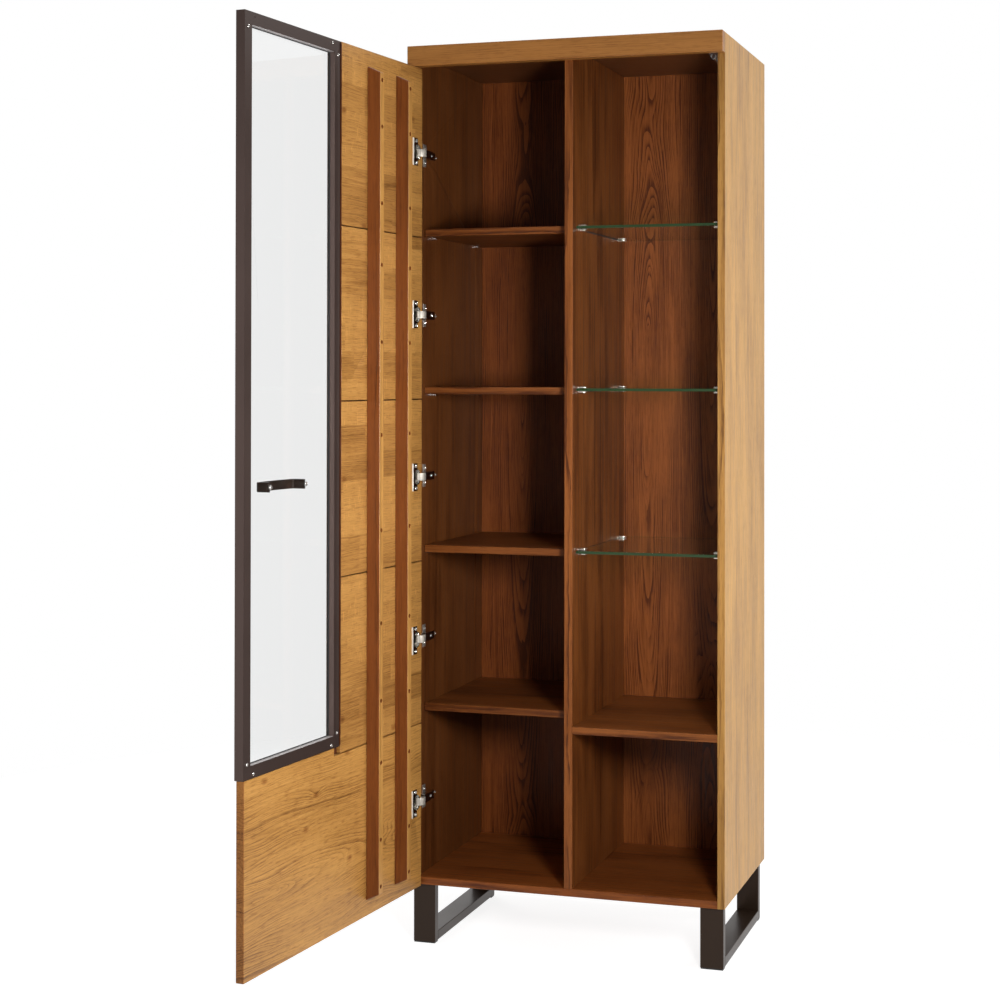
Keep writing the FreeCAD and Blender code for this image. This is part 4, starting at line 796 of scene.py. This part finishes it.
def pale_floor():
    """Pale floor: white far away and lightly shaded near the cabinet for camera, mirror and glass rays, and
    dull for the rays that light the object.
    """
    material, tree = new_tree("pale_floor")
    paint = add(tree, "BsdfDiffuse", {"Color": (0.42, 0.42, 0.42, 1)})
    glow = add(tree, "Emission", {"Color": WHITE, "Strength": 0.86})
    shaded = add(tree, "AddShader", {0: paint.outputs[0], 1: glow.outputs[0]})
    plain = add(tree, "Emission", {"Color": WHITE, "Strength": 1.0})
    reach = add(tree, "VectorMath", {0: place(tree)}, operation="LENGTH").outputs["Value"]
    far = spread(tree, reach, 1.3, 2.4)
    floor_seen = add(tree, "MixShader", {0: far, 1: shaded.outputs[0], 2: plain.outputs[0]})
    dull = add(tree, "BsdfDiffuse", {"Color": (0.62, 0.62, 0.61, 1)})
    path = add(tree, "LightPath").outputs
    seen = math_node(tree, "MAXIMUM", path["Is Camera Ray"], path["Is Glossy Ray"])
    seen = math_node(tree, "MAXIMUM", seen, path["Is Transmission Ray"])
    both = add(tree, "MixShader", {0: seen, 1: dull.outputs[0], 2: floor_seen.outputs[0]})
    add(tree, "OutputMaterial", {"Surface": both.outputs[0]})
    mesh = bpy.data.meshes.new("floor")
    mesh.from_pydata([(-9, -9, 0), (9, -9, 0), (9, 9, 0), (-9, 9, 0)], [], [(0, 1, 2, 3)])
    mesh.materials.append(material)
    floor = bpy.data.objects.new("floor", mesh)
    bpy.context.collection.objects.link(floor)


def camera():
    """The photograph's view: place, turn and lens from points measured on the cabinet. The focal length and
    the point that the lens is centred on are in pixels of a picture that is 1000 wide and high.
    """
    pixels = 1000.0
    yaw, pitch, roll = 0.28645, 0.00771, 0.00097
    focal, across, down = 1826.02359, 600.0, 362.9309
    spot = (1.17767149, -3.93492214, 1.2383144)
    forward = Vector((-math.sin(yaw) * math.cos(pitch), math.cos(yaw) * math.cos(pitch), math.sin(pitch)))
    level = Vector((math.cos(yaw), math.sin(yaw), 0.0))
    above = level.cross(forward)
    right = math.cos(roll) * level + math.sin(roll) * above
    up = math.cos(roll) * above - math.sin(roll) * level
    lens = bpy.data.cameras.new("camera")
    lens.sensor_width = 36.0
    lens.lens = focal / pixels * lens.sensor_width
    lens.shift_x = (pixels / 2.0 - across) / pixels
    lens.shift_y = (down - pixels / 2.0) / pixels
    view = bpy.data.objects.new("camera", lens)
    turn = Matrix((right, up, -forward)).transposed()
    view.matrix_world = Matrix.Translation(spot) @ turn.to_4x4()
    bpy.context.collection.objects.link(view)
    bpy.context.scene.camera = view


surround()
pale_floor()
lamp("front_lamp", (1.03, -1.95, 1.22), (-0.30, -0.47, 1.10), (0.27, 0.45), 16.0, 110.0)
lamp("right_lamp", (3.0, 0.1, 1.30), (0.0, 0.0, 1.05), (1.6, 2.0), 40.0)
lamp("back_lamp", (-2.6, 2.4, 1.9), (0.0, 0.0, 1.0), (1.8, 2.0), 40.0)
lamp("top_lamp", (0.0, -0.1, 4.2), (0.0, 0.0, 0.0), (1.6, 1.6), 30.0)
camera()
bpy.context.scene.view_settings.view_transform = "Standard"
